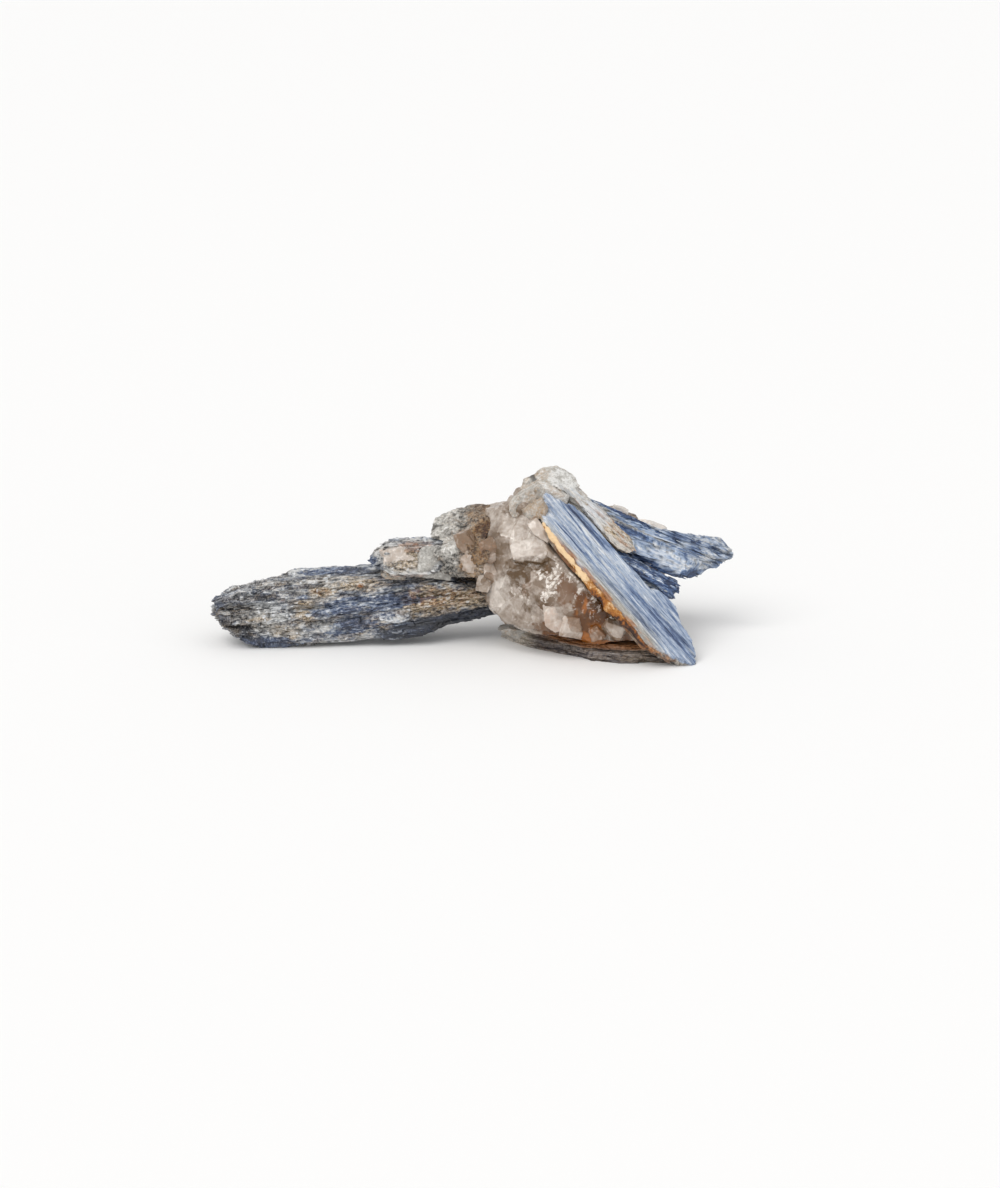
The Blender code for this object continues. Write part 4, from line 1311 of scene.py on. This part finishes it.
        foot = smooth((8 - u) / 5) * smooth((-1 - w) / 2)
        grey = smooth((-2.2 - w + uneven) / 2) * smooth((30 - u) / 6) * smooth((u - 6) / 4)
        low = smooth((-0.3 - place[:, 2] + 0.2 * waves(place, 1.5, seed + 13)) / 0.5)
        outer, below = w < -3, u < 38
        # Painted shadow: the sheet's side more than 0.9 mm behind its front, on its left where the
        # iron rim runs, is darkened through the cut mark; cut also darkens gaps between blades.
        painted_rim_shadow = smooth((-0.9 - place[:, 2]) / 0.6) * outer
        spots = smooth((-6.3 - w) / 0.5) * smooth(waves(place, 2, seed + 12) + 0.5) * below
        # Below u 38 on the left, the side behind the front is iron-stained and darkened as painted
        # shade.
        rust_and_shade = low * outer * below
        marks = {
            "place": place,
            "tone": tone - 0.04 * foot - 0.07 * grey - 0.25 * rust_and_shade + 0.1 * low,
            "cut": (0.35 * broad[2] * (middle[1] > 0.5) + 0.6 * painted_rim_shadow).clip(0, 1),
            "blue": (0.76 - 0.7 * left - 0.3 * tan_lines - 0.5 * low - 0.3 * grey).clip(0, 1),
            "earth": 0.5 * tan_lines + 0.3 * left - 0.1 + 0.6 * low,
            "rust": 0.8 * spots + 0.8 * rust_and_shade * smooth(0.6 + waves(place, 1.2, seed + 15)),
        }
        finish = kyanite(name + "_kyanite", looks, roughness=0.34, speckle=0.25, fibre=0.68)
        slot = "pale_kyanite"
        write_piece(name, "front_blade_sheet", slot, finish, points, quads, none, marks)


class KYANITE_OT_base_blade(bpy.types.Operator):
    """Grow the flat stained blade under the quartz"""

    bl_idname = "kyanite.base_blade"
    bl_label = "Base blade"

    def execute(self, context):
        looks = context.scene.kyanite_blades
        centre, thick = np.array((27.0, -1.0, 0.0)), 3.5
        heights = np.linspace(0.15, 3.35, 12)
        angle = circle(200)
        ways = np.stack((np.cos(angle), np.sin(angle), 0 * angle), -1)
        origins = centre + heights[:, None, None] * Z
        table = without_gaps(reach("base_blade", origins, ways))
        columns, side_rows, cap_rows = 640, 34, 26
        around = np.arange(columns) / columns * len(angle)
        turn = around / len(angle) * 2 * math.pi
        # rows: the underside from its middle out, the edge from bottom to top, the top in
        out = np.linspace(0.04, 0.99, cap_rows)[:, None]
        edge = np.linspace(0, 1, side_rows)[:, None]
        lines = len(heights) - 1
        side_r = looked_up(table, edge * lines + 0 * around, around + 0 * edge)
        r = np.concatenate((out * side_r[0], side_r, out[::-1] * side_r[-1]))
        z = np.concatenate((0 * out, thick * edge, 0 * out + thick)) + 0 * turn
        on_edge = np.concatenate((out**12, 1 + 0 * edge, out[::-1] ** 12)) + 0 * turn
        flat = np.stack((r * np.cos(turn), r * np.sin(turn), z), -1) + centre
        leaves = blocks(flat, (9, 9, 0.55), 600)
        chips = blocks(flat, (2.4, 2.4, 0.8), 610)
        relief = 0.35 * leaves[0] + 0.18 * chips[0] + 0.12 * waves(flat, 1.2, 620)
        r = r + on_edge * (relief - 0.25)
        on_top = z > thick - 0.1
        top = on_top * 0.12 * waves(flat, 3.0, 630) - 0.15 * on_top
        grid = np.stack((r * np.cos(turn), r * np.sin(turn), z + top), -1) + centre
        # What would come through the sheet is pressed back to 2.9 mm behind its front.
        behind = (grid - SHEET_TIP) @ SHEET_OUT + 2.9
        grid = grid - np.maximum(behind, 0)[..., None] * SHEET_OUT * (1, 1, 0)
        points, quads, fans = closed(grid)
        leaf, flake, painted_gap_shade = capsule(np.stack((leaves[1], chips[1], leaves[2]), -1)).T
        height = points[:, 2]
        stain = smooth((height - 2.0 + 0.9 * waves(points, (5, 5, 1), 640)) / 1.2)
        stain = stain * smooth((points[:, 0] - 11) / 6 + 0.3 * waves(points, 4, 641))
        stain = stain * smooth(0.95 + 0.8 * waves(points, (3.0, 3.0, 0.7), 644))
        left = smooth((14 - points[:, 0]) / 6)
        tone = 0.34 + 0.16 * (leaf - 0.5) + 0.1 * (flake - 0.5) + 0.75 * left
        marks = {
            "place": points,
            # Painted shade: darker towards the lower edge. The stain mask is iron stain on the top,
            # and also darkens tone and cut there as painted shade under the quartz.
            "tone": tone - 0.15 * stain - 0.1 * smooth((1.8 - height) / 0.8),
            "cut": (0.45 * painted_gap_shade + 0.45 * stain).clip(0, 1),
            "blue": (0.12 + 0.2 * waves(points, 4, 642) - 0.25 * left).clip(0, 1),
            "earth": (0.2 + 0.32 * left + 0.3 * waves(points, (4, 4, 1), 643)).clip(0, 1),
            "rust": np.maximum(stain, 0.06 * (1 - left)),
        }
        finish = kyanite("stained_base_kyanite", looks, roughness=0.5, speckle=0.25, fibre=0.3)
        slot = "stained_kyanite"
        write_piece("base_blade_skin", "base_blade", slot, finish, points, quads, fans, marks)
        return {"FINISHED"}


class KYANITE_OT_quartz_mass(bpy.types.Operator):
    """Grow the smoky quartz"""

    bl_idname = "kyanite.quartz_mass"
    bl_label = "Quartz"

    def execute(self, context):
        looks = context.scene.kyanite_quartz
        centre, lowest = np.array((18.0, -1.0, 15.0)), 3.0
        ways, far = star("quartz_mass", centre, looks.columns)
        flat = centre + far[..., None] * ways
        facet, relief = looks.chip / MM, looks.relief / MM
        broad = scoops(flat, facet, 701, 0.9)
        middle = scoops(flat, facet * 0.42, 711, 0.9)
        small = scoops(flat, facet * 0.17, 721, 0.9)
        rough = smooth(waves(flat, 6.0, 731) + 0.55)
        glassy = within(flat, (13.0, -12.0, 14.5), (14.0, 8.0, 14.0), 732, 0.5)
        rough = rough * (1 - 0.75 * glassy)
        height = 6.0 * broad[0] * (1 - 0.55 * glassy) + (0.3 + rough) * 2.2 * middle[0]
        height = relief * height
        u, w, lift = (sheet_axes(flat)[..., n] for n in range(3))
        rim = -7.8 + 1.3 * np.maximum(u - 42, 0)
        beside = smooth(1 - np.hypot(w - rim, lift + 0.8) / 5) * smooth((u - 16) / 8)
        top = within(flat, (12.0, 0.0, 30.0), (5.0, 8.0, 3.0), 734)
        low = smooth((6.4 - flat[..., 2] + 0.4 * waves(flat, 3.0, 735)) / 1.2)
        r = far + height - 0.3 + 1.9 * beside + 0.7 * top - 1.0 * low
        cuts = (
            ((10.8, -9.8, 24.2), (-0.22, -0.86, 0.46)),
            ((14.0, -13.6, 17.0), (0.05, -0.95, 0.3)),
            ((7.2, -10.4, 12.6), (-0.55, -0.83, -0.05)),
            ((4.6, -8.6, 19.6), (-0.8, -0.58, 0.15)),
            ((11.6, -13.6, 8.6), (-0.12, -0.97, -0.2)),
            ((21.4, -16.0, 11.0), (0.1, -0.98, 0.18)),
            ((7.6, -5.6, 29.4), (-0.35, -0.62, 0.7)),
            ((4.2, -3.6, 27.0), (-0.75, -0.5, 0.43)),
        )
        r, which = clipped(ways, centre, r, cuts)
        r = r + (0.15 + 0.6 * rough) * relief * small[0] + 0.05 * waves(flat, 1.2, 733)
        points, quads, fans = closed(centre + r[..., None] * ways)
        points[:, 2] = np.maximum(points[:, 2], lowest)
        own = capsule(np.stack((broad[1], middle[1], which == 0, which == 1), -1)).T
        milks = (
            (11.1, 20.8, 3.0, 3.6, -12, 0.12),
            (3.9, 27.6, 1.6, 2.2, 0, 0.4),
            (4.9, 10.2, 2.0, 3.0, 0, 0.4),
            (10.1, 6.6, 3.0, 2.6, 0, 0.15),
            (24.1, 6.8, 1.6, 2.4, 0, 0.3),
            (15.9, 4.8, 1.6, 2.2, 0, 0.45),
            (28.1, 3.0, 2.0, 1.8, -40, 0.3),
            (21.9, 10.2, 1.2, 1.2, 0, 0.35),
            (30.1, 0.6, 1.2, 1.0, 0, 0.35),
            (6.1, 5.0, 2.4, 1.6, 0, 0.15),
            (6.7, 29.0, 2.8, 1.2, 20, 0.2),
        )
        # Patches of white shards: milky shards, and painted glints, such as those at x 18.5, 20.5
        # and 22.7 over the brown middle.
        shards_and_glints = (
            (12.9, 14.0, 1.4, 1.0, 0, 0.8),
            (14.1, 9.2, 1.2, 1.0, 0, 0.8),
            (15.9, 11.0, 1.2, 2.0, 0, 0.75),
            (16.5, 15.4, 1.0, 1.8, 0, 0.8),
            (24.1, 6.8, 1.8, 2.6, -30, 0.9),
            (27.7, 3.4, 2.4, 1.8, -40, 0.9),
            (20.5, 9.8, 1.2, 1.2, 0, 0.8),
            (14.7, 13.2, 2.4, 2.4, 0, 0.4),
            (25.5, 0.6, 1.6, 0.6, 0, 0.5),
            (22.7, 8.5, 2.8, 2.4, 0, 0.75),
            (18.5, 12.7, 2.4, 1.4, -20, 0.8),
            (8.9, 10.2, 2.4, 1.4, 0, 0.6),
        )
        # Smoky patches. The one at x 11.3 under the bright facet, the band along the foot at x
        # 21.1, and those turned -40 and -42 degrees beside the iron rim are painted shade.
        smokes_and_shade = (
            (11.3, 16.4, 4.0, 0.8, 0, 0.8),
            (4.5, 16.6, 1.6, 4.8, 0, 0.3),
            (8.9, 13.2, 2.4, 2.0, 0, 0.9),
            (14.1, 15.2, 1.4, 1.6, 0, 0.8),
            (11.1, 9.0, 1.4, 2.8, 0, 0.4),
            (7.5, 26.0, 2.0, 0.8, 0, 0.5),
            (26.1, 8.6, 2.0, 4.4, -40, 0.6),
            (6.7, 13.2, 1.0, 2.8, 0, 0.35),
            (13.1, 6.6, 1.6, 1.6, 0, 0.3),
            (21.1, 0.4, 9.0, 1.0, -3, 0.7),
            (28.5, 4.4, 1.0, 4.5, -42, 0.7),
            (24.3, 4.0, 1.6, 2.0, 0, 0.4),
        )
        # Brown patches. The band along the foot at x 20.1 is brown stain and painted shade in the
        # crevice there; those turned -42 degrees along the iron rim paint its shadow as well as
        # brown.
        browns_and_shade = (
            (18.7, 10.2, 2.0, 2.4, 0, 0.7),
            (19.5, 16.6, 1.4, 1.0, 0, 0.7),
            (24.3, 3.6, 2.8, 2.8, 0, 1),
            (19.5, 2.4, 6.4, 1.6, -6, 0.7),
            (23.0, 7.0, 3.2, 3.4, -30, 0.5),
            (26.7, 7.4, 1.4, 4.8, -42, 1),
            (23.1, 11.0, 1.6, 2.0, -40, 0.5),
            (20.1, 0.2, 8.8, 1.2, -3, 1),
            (30.5, 3.0, 1.6, 3.5, -42, 1),
            (10.7, 10.6, 0.6, 2.0, 0, 0.3),
            (21.7, 7.2, 2.0, 2.0, 0, 0.5),
            (15.5, 5.6, 4.6, 2.6, 0, 0.24),
        )
        rusts = (
            (22.3, 8.4, 0.4, 1.0, 0, 0.9),
            (20.5, 6.0, 0.3, 1.0, 0, 0.7),
            (21.9, 6.8, 0.4, 0.8, 0, 0.7),
            (23.5, 6.2, 0.6, 0.4, 0, 0.6),
            (22.5, 1.4, 2.0, 0.8, 0, 1),
            (20.1, 0.2, 8.4, 0.8, -3, 0.85),
            (25.0, 2.8, 2.4, 1.2, -20, 0.6),
            (14.5, 14.6, 0.4, 1.2, 0, 0.25),
            (9.9, 10.6, 0.4, 1.6, 0, 0.35),
            (19.7, 18.0, 1.2, 0.8, 0, 0.35),
            (25.1, 2.2, 1.2, 1.2, 0, 0.5),
        )
        milk = 0.34 + 0.22 * waves(points, 3.2, 741) + 0.2 * (own[1] - 0.5) + 0.2 * (own[0] - 0.5)
        smoke = 0.22 + 0.3 * waves(points, 3.6, 742) + painted(points, smokes_and_shade, 743)
        brown = painted(points, browns_and_shade, 744) * (0.85 + 0.5 * waves(points, 1.6, 747))
        brown = brown.clip(0, 1)
        milk = milk + painted(points, milks, 745) - 0.3 * smoke.clip(0, 1) - 1.1 * brown**2
        milk = milk + 0.05 * own[2] - 0.1 * own[3]
        rust = painted(points, rusts, 746, 0.8)
        marks = {
            "place": points,
            "milk": milk.clip(0, 1),
            "smoke": smoke.clip(0, 1),
            "brown": brown,
            "rust": rust.clip(0, 1),
            "torn": painted(points, shards_and_glints, 748).clip(0, 1) * (1 - 0.45 * brown),
        }
        slot = "smoky_quartz"
        finish = quartz(slot, looks, looks.clearness)
        write_piece("quartz_lump", "quartz_mass", slot, finish, points, quads, fans, marks)
        return {"FINISHED"}


class KYANITE_OT_chips(bpy.types.Operator):
    """Grow the small broken pieces of quartz and schist on the others"""

    bl_idname = "kyanite.chips"
    bl_label = "Quartz and schist chips"

    def execute(self, context):
        # name, centre, half sizes, turns about Y and Z, then milk, smoke, brown and rust
        quartz_chips = (
            ("rear_1", (30.0, 10.4, 24.7), (2.0, 1.6, 1.3), (26, 0), (1.0, 0.0, 0.0, 0.0)),
            ("rear_2", (36.2, 9.8, 21.9), (3.3, 1.7, 1.4), (22, 0), (1.0, 0.0, 0.0, 0.0)),
            ("tan", (-15.4, -2.6, 17.7), (4.1, 2.6, 2.8), (-10, 0), (0.6, 0.12, 0.0, 0.12)),
            ("vein_1", (-1.6, -5.2, 22.2), (1.9, 2.6, 2.5), (-15, 0), (0.1, 0.4, 0.1, 0.2)),
            ("vein_2", (-1.1, -5.7, 18.9), (2.2, 2.3, 2.6), (10, 10), (0.15, 0.35, 0.1, 0.2)),
            ("vein_3", (2.9, -6.0, 21.0), (1.9, 2.2, 2.4), (-20, 10), (0.1, 0.5, 0.2, 0.25)),
            ("low", (2.4, -5.2, 15.0), (2.0, 2.6, 2.5), (8, 0), (0.3, 0.45, 0.0, 0.0)),
            ("side", (3.6, -5.0, 16.6), (2.0, 3.0, 3.8), (0, 0), (0.3, 0.4, 0.15, 0.2)),
            ("foot_1", (27.9, -14.6, 7.2), (2.7, 2.6, 2.0), (38, 0), (0.2, 0.5, 0.15, 0.0)),
            ("foot_2", (24.3, -14.4, 6.2), (1.6, 2.0, 1.4), (-20, 0), (0.2, 0.3, 0.5, 0.3)),
            ("plate_1", (15.8, -13.3, 9.0), (2.2, 1.6, 3.1), (-6, 0), (0.5, 0.0, 0.2, 0.32)),
            ("plate_2", (19.6, -13.6, 7.4), (2.4, 1.7, 2.7), (14, 0), (0.35, 0.2, 0.3, 0.15)),
            ("corner", (13.2, -9.4, 25.6), (1.5, 1.8, 3.2), (-43, 0), (0.4, 0.1, 0.05, 0.15)),
        )
        # name, centre, half sizes, turns about Y and Z, then tone and earth
        schist_chips = (
            ("grey", (-8.6, -3.0, 17.9), (3.9, 2.6, 3.3), (12, 20), (0.6, 0.0)),
            ("leaf", (-16.4, -2.6, 15.1), (3.0, 2.6, 0.6), (4, 0), (0.5, 0.5)),
            ("top_1", (9.6, -2.6, 30.2), (3.2, 3.0, 1.9), (-28, 0), (0.72, 0.55)),
            ("top_2", (12.0, -1.6, 31.6), (2.4, 2.6, 1.8), (-30, 0), (0.74, 0.5)),
            ("top_4", (12.4, -6.5, 29.4), (2.4, 2.4, 1.8), (-30, 0), (0.72, 0.75)),
            ("top_3", (16.0, -0.4, 31.2), (3.4, 2.0, 1.5), (34, 0), (0.85, 0.5)),
            ("tip", (8.4, 0.8, 2.0), (3.6, 2.8, 1.15), (8, 0), (0.72, 0.35)),
        )

        def quartz_marks(look, seed, p):
            cloud = waves(p, 1.8, seed + 5)
            milk, smoke, brown, rust = look
            return {
                "place": p,
                "milk": (milk + 0.3 * cloud).clip(0, 1),
                "smoke": (smoke - 0.2 * cloud).clip(0, 1),
                "brown": (brown + 0.4 * brown * waves(p, 1.3, seed + 6)).clip(0, 1),
                "rust": (rust + 1.2 * rust * waves(p, 1.1, seed + 7)).clip(0, 1),
                "torn": (0.8 * milk + 0.3 * cloud).clip(0, 1),
            }

        def schist_marks(look, seed, p):
            cloud = waves(p, 1.4, seed + 5)
            return {
                "place": p,
                "tone": look[0] + 0.15 * cloud,
                "earth": (look[1] + 0.4 * waves(p, 1.6, seed + 6)).clip(0, 1),
                "rust": 0 * cloud,
                "cut": smooth(-1.8 * cloud - 0.9),
            }

        looks, rocks = context.scene.kyanite_quartz, context.scene.kyanite_rock
        glass = quartz("chipped_quartz", looks, 0.3 * looks.clearness)
        grit = schist("pale_schist", rocks, 0.55)
        kinds = (
            (quartz_chips, quartz_marks, "smoky_quartz", glass),
            (schist_chips, schist_marks, "mica_crust", grit),
        )
        seeds = itertools.count(2000, 10)
        for chips, marks_of, slot, finish in kinds:
            for (name, *shape, look), seed in zip(chips, seeds):
                marks = functools.partial(marks_of, look, seed)
                chip("chip_" + name, slot, finish, *shape, seed, marks)
        return {"FINISHED"}


def rock(
    name, stands_for, slot, looks, stains, centre, columns, seed, longest, amount, contrast
):
    """A lump of schist as one closed surface: its solid's reach, plus scooped breaks of two
    sizes and the waves of its grains."""
    centre = np.array(centre)
    ways, far = star(stands_for, centre, columns, 0.3, longest)
    flat = centre + far[..., None] * ways
    broad = scoops(flat, 3.8, seed + 1)
    middle = scoops(flat, 1.5, seed + 11)
    small = scoops(flat, looks.grain / MM * 1.3, seed + 21)
    rough = waves(flat, (2.4, 2.4, 1.4), seed + 31, 5)
    relief = looks.relief / MM * amount
    height = relief * (2.2 * broad[0] + 1.1 * middle[0] + 0.5 * small[0] - 1.2)
    height = height + 1.1 * relief * rough
    points, quads, fans = closed(flat + (height + 0.3)[..., None] * ways)
    own = capsule(np.stack((broad[1], middle[1], small[1], rough), -1)).T
    marks = {
        "place": points,
        "tone": 0.45 + 0.12 * (own[0] - 0.5) + 0.2 * (own[1] - 0.5) + 0.2 * (own[2] - 0.5),
        # The cut mark paints shade into the low parts of the waves that roughen the surface.
        "cut": smooth(-1.6 * own[3] - 0.35),
        "earth": 0.4 + 0.4 * waves(points, 2.5, seed + 41),
        "rust": 0.0 * own[0],
    }
    marks.update(stains(points, marks))
    finish = schist(name + "_schist", looks, contrast)
    write_piece(name, stands_for, slot, finish, points, quads, fans, marks)


class KYANITE_OT_matrix_rock(bpy.types.Operator):
    """Grow the schist between the bundles and the quartz"""

    bl_idname = "kyanite.matrix_rock"
    bl_label = "Matrix rock"

    def execute(self, context):
        looks = context.scene.kyanite_rock

        def stains(p, marks):
            vein = within(p, (-1.0, -5.5, 19.4), (2.4, 5.0, 3.6), 61, 0.5)
            block = within(p, (3.4, -6.5, 20.6), (2.4, 5.0, 3.0), 62, 0.6)
            dark = within(p, (2.4, -4.0, 24.6), (2.2, 4.0, 1.6), 63, 0.5)
            spot = within(p, (-5.1, -4.5, 24.7), (1.2, 3.0, 0.8), 66, 0.4)
            left = smooth((-2.6 - p[:, 0]) / 1.5) * smooth((p[:, 2] - 19) / 2)
            right = 0.5 * smooth((p[:, 0] + 3.0 + 2 * waves(p, 2.5, 65)) / 3)
            return {
                "tone": marks["tone"] - 0.06 + 0.22 * left - 0.3 * dark - 0.12 * block + 0.2 * spot,
                "earth": (marks["earth"] + right + 0.25 * vein - 0.2 * left + spot).clip(0, 1),
                "rust": (0.5 * right + 0.3 * vein).clip(0, 1) * smooth(waves(p, 1.2, 64) + 0.5),
            }

        rock(
            "matrix_schist", "matrix_rock", "mica_schist", looks, stains, (-1.0, 1.5, 20.6),
            columns=380, seed=800, longest=99.0, amount=0.8, contrast=0.85,
        )
        return {"FINISHED"}


class KYANITE_OT_crown(bpy.types.Operator):
    """Grow the mica crust on top and the tan seam behind the sheet"""

    bl_idname = "kyanite.crown"
    bl_label = "Crown and seam"

    def execute(self, context):
        looks = context.scene.kyanite_rock

        def crust(p, marks):
            blue = within(p, (17.5, 3.0, 33.6), (4.0, 5.0, 2.2), 61, 0.7)
            return {
                "tone": marks["tone"] + 0.1 * blue + 0.3,
                "earth": (marks["earth"] - 0.45 * blue + 0.15).clip(0, 1),
            }

        rock(
            "crown_crust", "crown_seam", "mica_crust", looks, crust, (15.0, 4.4, 31.6),
            columns=260, seed=840, longest=9.0, amount=0.5, contrast=0.5,
        )
        blades = context.scene.kyanite_blades
        foot, head = (32.4, -1.2, 19.8), (17.6, 2.8, 32.4)
        profile = ((-3.0, 2.0), (-0.5, -0.8), (3.0, -3.8))
        made = bundle(
            blades, "crown_seam", foot, head, profile,
            ragged=2.0, seed=860, stretch=2.0, crumble=0.2, swell=0.15,
        )

        def stains(p, marks):
            along = (p - foot) @ unit(np.subtract(head, foot))
            lower = smooth((8.5 - along) / 2)
            lines = 0.6 * smooth(2 * waves(marks["place"], (5, 0.6, 0.6), 863) - 0.2)
            return {
                "tone": 1.42 + 0.4 * (marks["tone"] - 0.5) + 0.05 * lower,
                "blue": (0.5 - 0.2 * lower + 0.5 * waves(p, 2.0, 864)).clip(0, 1),
                "cut": 0.12 * marks["cut"],
                "earth": 0.12 + 0.6 * lower + 0.6 * waves(marks["place"], (5, 0.8, 0.8), 862),
                "rust": lines + 0.6 * smooth((0.2 - along) / 1.2),
            }

        finish_bundle(
            "tan_seam", None, "mica_crust", blades, made, stains,
            roughness=0.5, splinter_length=0.5, seed=9, speckle=0.25, fibre=0.35,
        )
        return {"FINISHED"}


class KYANITE_OT_iron_rim(bpy.types.Operator):
    """Grow the iron crust along the sheet's left edge"""

    bl_idname = "kyanite.iron_rim"
    bl_label = "Iron rim"

    def execute(self, context):
        looks = context.scene.kyanite_rock
        # up the sheet, then across it, then the crust's half width there
        line = (
            (41.5, -6.2, 0.2), (40.4, -6.6, 0.5), (35.0, -7.5, 0.5), (28.0, -7.8, 0.55),
            (22.6, -8.1, 0.7), (16.6, -7.8, 0.6), (12.0, -7.7, 0.45), (9.6, -7.6, 0.3),
            (8.6, -7.5, 0.12),
        )
        up_at, across_at, half_at = np.array(line)[::-1].T
        rows, columns = 620, 84
        up = np.linspace(up_at[0], up_at[-1], rows)[:, None]
        turn = circle(columns)
        half = np.interp(up, up_at, half_at)
        middle = np.interp(up, up_at, across_at)
        flat = np.stack((up + 0 * turn, middle + half * np.cos(turn), half * np.sin(turn)), -1)
        lumps = waves(flat, (2.2, 1.4, 1.4), 900)
        grains = waves(flat, (0.7, 0.5, 0.5), 910, 4)
        relief = 0.9 * lumps + 0.4 * grains
        r = np.maximum(half + relief * np.minimum(half, 1), 0.05)
        across = middle + r * np.cos(turn)
        lift = -0.85 + 1.1 * r * np.sin(turn)
        points, quads, fans = closed(sheet_place(across, up + 0 * turn, lift))
        own = np.stack((lumps, grains, np.sin(turn) + 0 * up, up + 0 * turn), -1)
        lump, grain, out, height = capsule(own).T
        fresh = smooth((height - 24) / 8)
        # Painted shade: lighter on the crust's side out of the sheet than on its side behind, and
        # darker towards its lower end, where the quartz beside it is shadowed.
        shade = 0.38 + 0.5 * lump + 0.2 * grain + 0.25 * out
        shade = shade - 0.4 * smooth((19 - height) / 5)
        marks = {"place": points, "tone": shade + 0.8 * fresh}
        slot, finish = "iron_stain", iron_crust(looks)
        write_piece("limonite_rim", "iron_rim", slot, finish, points, quads, fans, marks)
        return {"FINISHED"}


# ------------------------------------------------------------------ stage


class KYANITE_OT_stage(bpy.types.Operator):
    """Set up the floor, the lights and the camera"""

    bl_idname = "kyanite.stage"
    bl_label = "Floor, lights and camera"

    def execute(self, context):
        looks = context.scene.kyanite_stage
        scene = context.scene
        material, _, finish, _ = start_material("matte_paper_floor")
        finish(Base_Color=(*looks.floor, 1.0), Roughness=0.9)
        # A disc: ring radius grows with the square of the ring's number.
        radius, rows, columns = 10, 24, 96
        turn = circle(columns)
        out = np.linspace(0.03, 1, rows)[:, None] ** 2 * radius
        rings = np.stack((out * np.cos(turn), out * np.sin(turn), 0 * out + 0 * turn), -1)
        index = np.arange(rows * columns).reshape(rows, columns)
        beside = np.roll(index, -1, axis=1)
        quads = np.stack((index[:-1], index[1:], beside[1:], beside[:-1]), -1).reshape(-1, 4)
        faces = quads.tolist() + [index[0].tolist()]
        mesh = bpy.data.meshes.new("floor")
        mesh.from_pydata(rings.reshape(-1, 3).tolist(), [], faces)
        mesh.materials.append(material)
        floor = bpy.data.objects.new("floor", mesh)
        scene.collection.objects.link(floor)
        floor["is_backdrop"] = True

        world = bpy.data.worlds.new("soft_sky")
        world.use_nodes = True
        sky = world.node_tree.nodes["Background"]
        sky.inputs["Color"].default_value = (1.0, 1.0, 1.0, 1.0)
        sky.inputs["Strength"].default_value = looks.sky
        scene.world = world
        lamps = (
            ("key", (-0.5, -0.55, 0.9), 50, looks.key, (1.0, 0.985, 0.96)),
            ("fill", (0.7, -0.8, 0.5), 80, looks.fill, (0.95, 0.97, 1.0)),
        )
        for name, at, wide, strength, tint in lamps:
            light = bpy.data.lights.new(name, "SUN")
            light.angle = math.radians(wide)
            light.energy = strength
            light.color = tint
            lamp = bpy.data.objects.new(name, light)
            lamp.matrix_world = aimed(np.array(at), np.zeros(3))
            scene.collection.objects.link(lamp)

        camera = bpy.data.cameras.new("camera")
        camera.lens = 83.3333
        camera.sensor_width = 36.0
        camera.clip_start = 0.01
        camera.clip_end = 40.0
        target = np.array((5.1, -14.0, 13.87)) * MM
        back = np.array((0.0, -math.cos(looks.elevation), math.sin(looks.elevation)))
        eye = bpy.data.objects.new("camera", camera)
        eye.matrix_world = aimed(target + back * looks.distance, target)
        scene.collection.objects.link(eye)
        scene.camera = eye
        scene.view_settings.view_transform = "Standard"
        scene.view_settings.look = "None"
        return {"FINISHED"}


def aimed(at, target):
    """A matrix at one place whose -Z looks at another, with X level."""
    back = unit(at - target)
    right = unit(np.cross(Z, back))
    matrix = np.eye(4)
    matrix[:3] = np.stack((right, np.cross(back, right), back, at), -1)
    return Matrix(matrix.tolist())


class KYANITE_PT_cluster(bpy.types.Panel):
    """Sizes, colours and pieces of the cluster"""

    bl_idname = "KYANITE_PT_cluster"
    bl_label = "Kyanite Blade Cluster"
    bl_space_type = "VIEW_3D"
    bl_region_type = "UI"
    bl_category = "Kyanite"

    def draw(self, context):
        for group in GROUPS:
            box = self.layout.box()
            box.label(text=group.__doc__)
            looks = getattr(context.scene, setting_of(group))
            for name in group.__annotations__:
                box.prop(looks, name)
        for operator in OPERATORS:
            self.layout.operator(operator.bl_idname)


def setting_of(group):
    """The name of the scene's property that holds a group's settings."""
    return group.__name__.replace("KYANITE_PG", "kyanite")


GROUPS = (KYANITE_PG_blades, KYANITE_PG_quartz, KYANITE_PG_rock, KYANITE_PG_stage)
OPERATORS = (
    KYANITE_OT_stage,
    KYANITE_OT_long_bundle,
    KYANITE_OT_short_bundle,
    KYANITE_OT_front_sheet,
    KYANITE_OT_middle_blades,
    KYANITE_OT_rear_bundle,
    KYANITE_OT_base_blade,
    KYANITE_OT_quartz_mass,
    KYANITE_OT_matrix_rock,
    KYANITE_OT_crown,
    KYANITE_OT_iron_rim,
    KYANITE_OT_chips,
)


def register():
    """Makes the settings, the operators and the panel known to Blender."""
    for item in (*GROUPS, *OPERATORS, KYANITE_PT_cluster):
        bpy.utils.register_class(item)
    for group in GROUPS:
        setattr(bpy.types.Scene, setting_of(group), PointerProperty(type=group))


def unregister():
    """Takes them away again."""
    for group in GROUPS:
        delattr(bpy.types.Scene, setting_of(group))
    for item in (KYANITE_PT_cluster, *OPERATORS[::-1], *GROUPS[::-1]):
        bpy.utils.unregister_class(item)


def main():
    """Grows every piece, then works out how large the solids and the surfaces are."""
    register()
    for operator in OPERATORS:
        getattr(bpy.ops.kyanite, operator.bl_idname.split(".")[1])()
    boxes = {"cad": cad_box, "visual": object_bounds()}
    plain = {name: [[float(v) for v in corner] for corner in box] for name, box in boxes.items()}


if __name__ == "__main__":
    main()
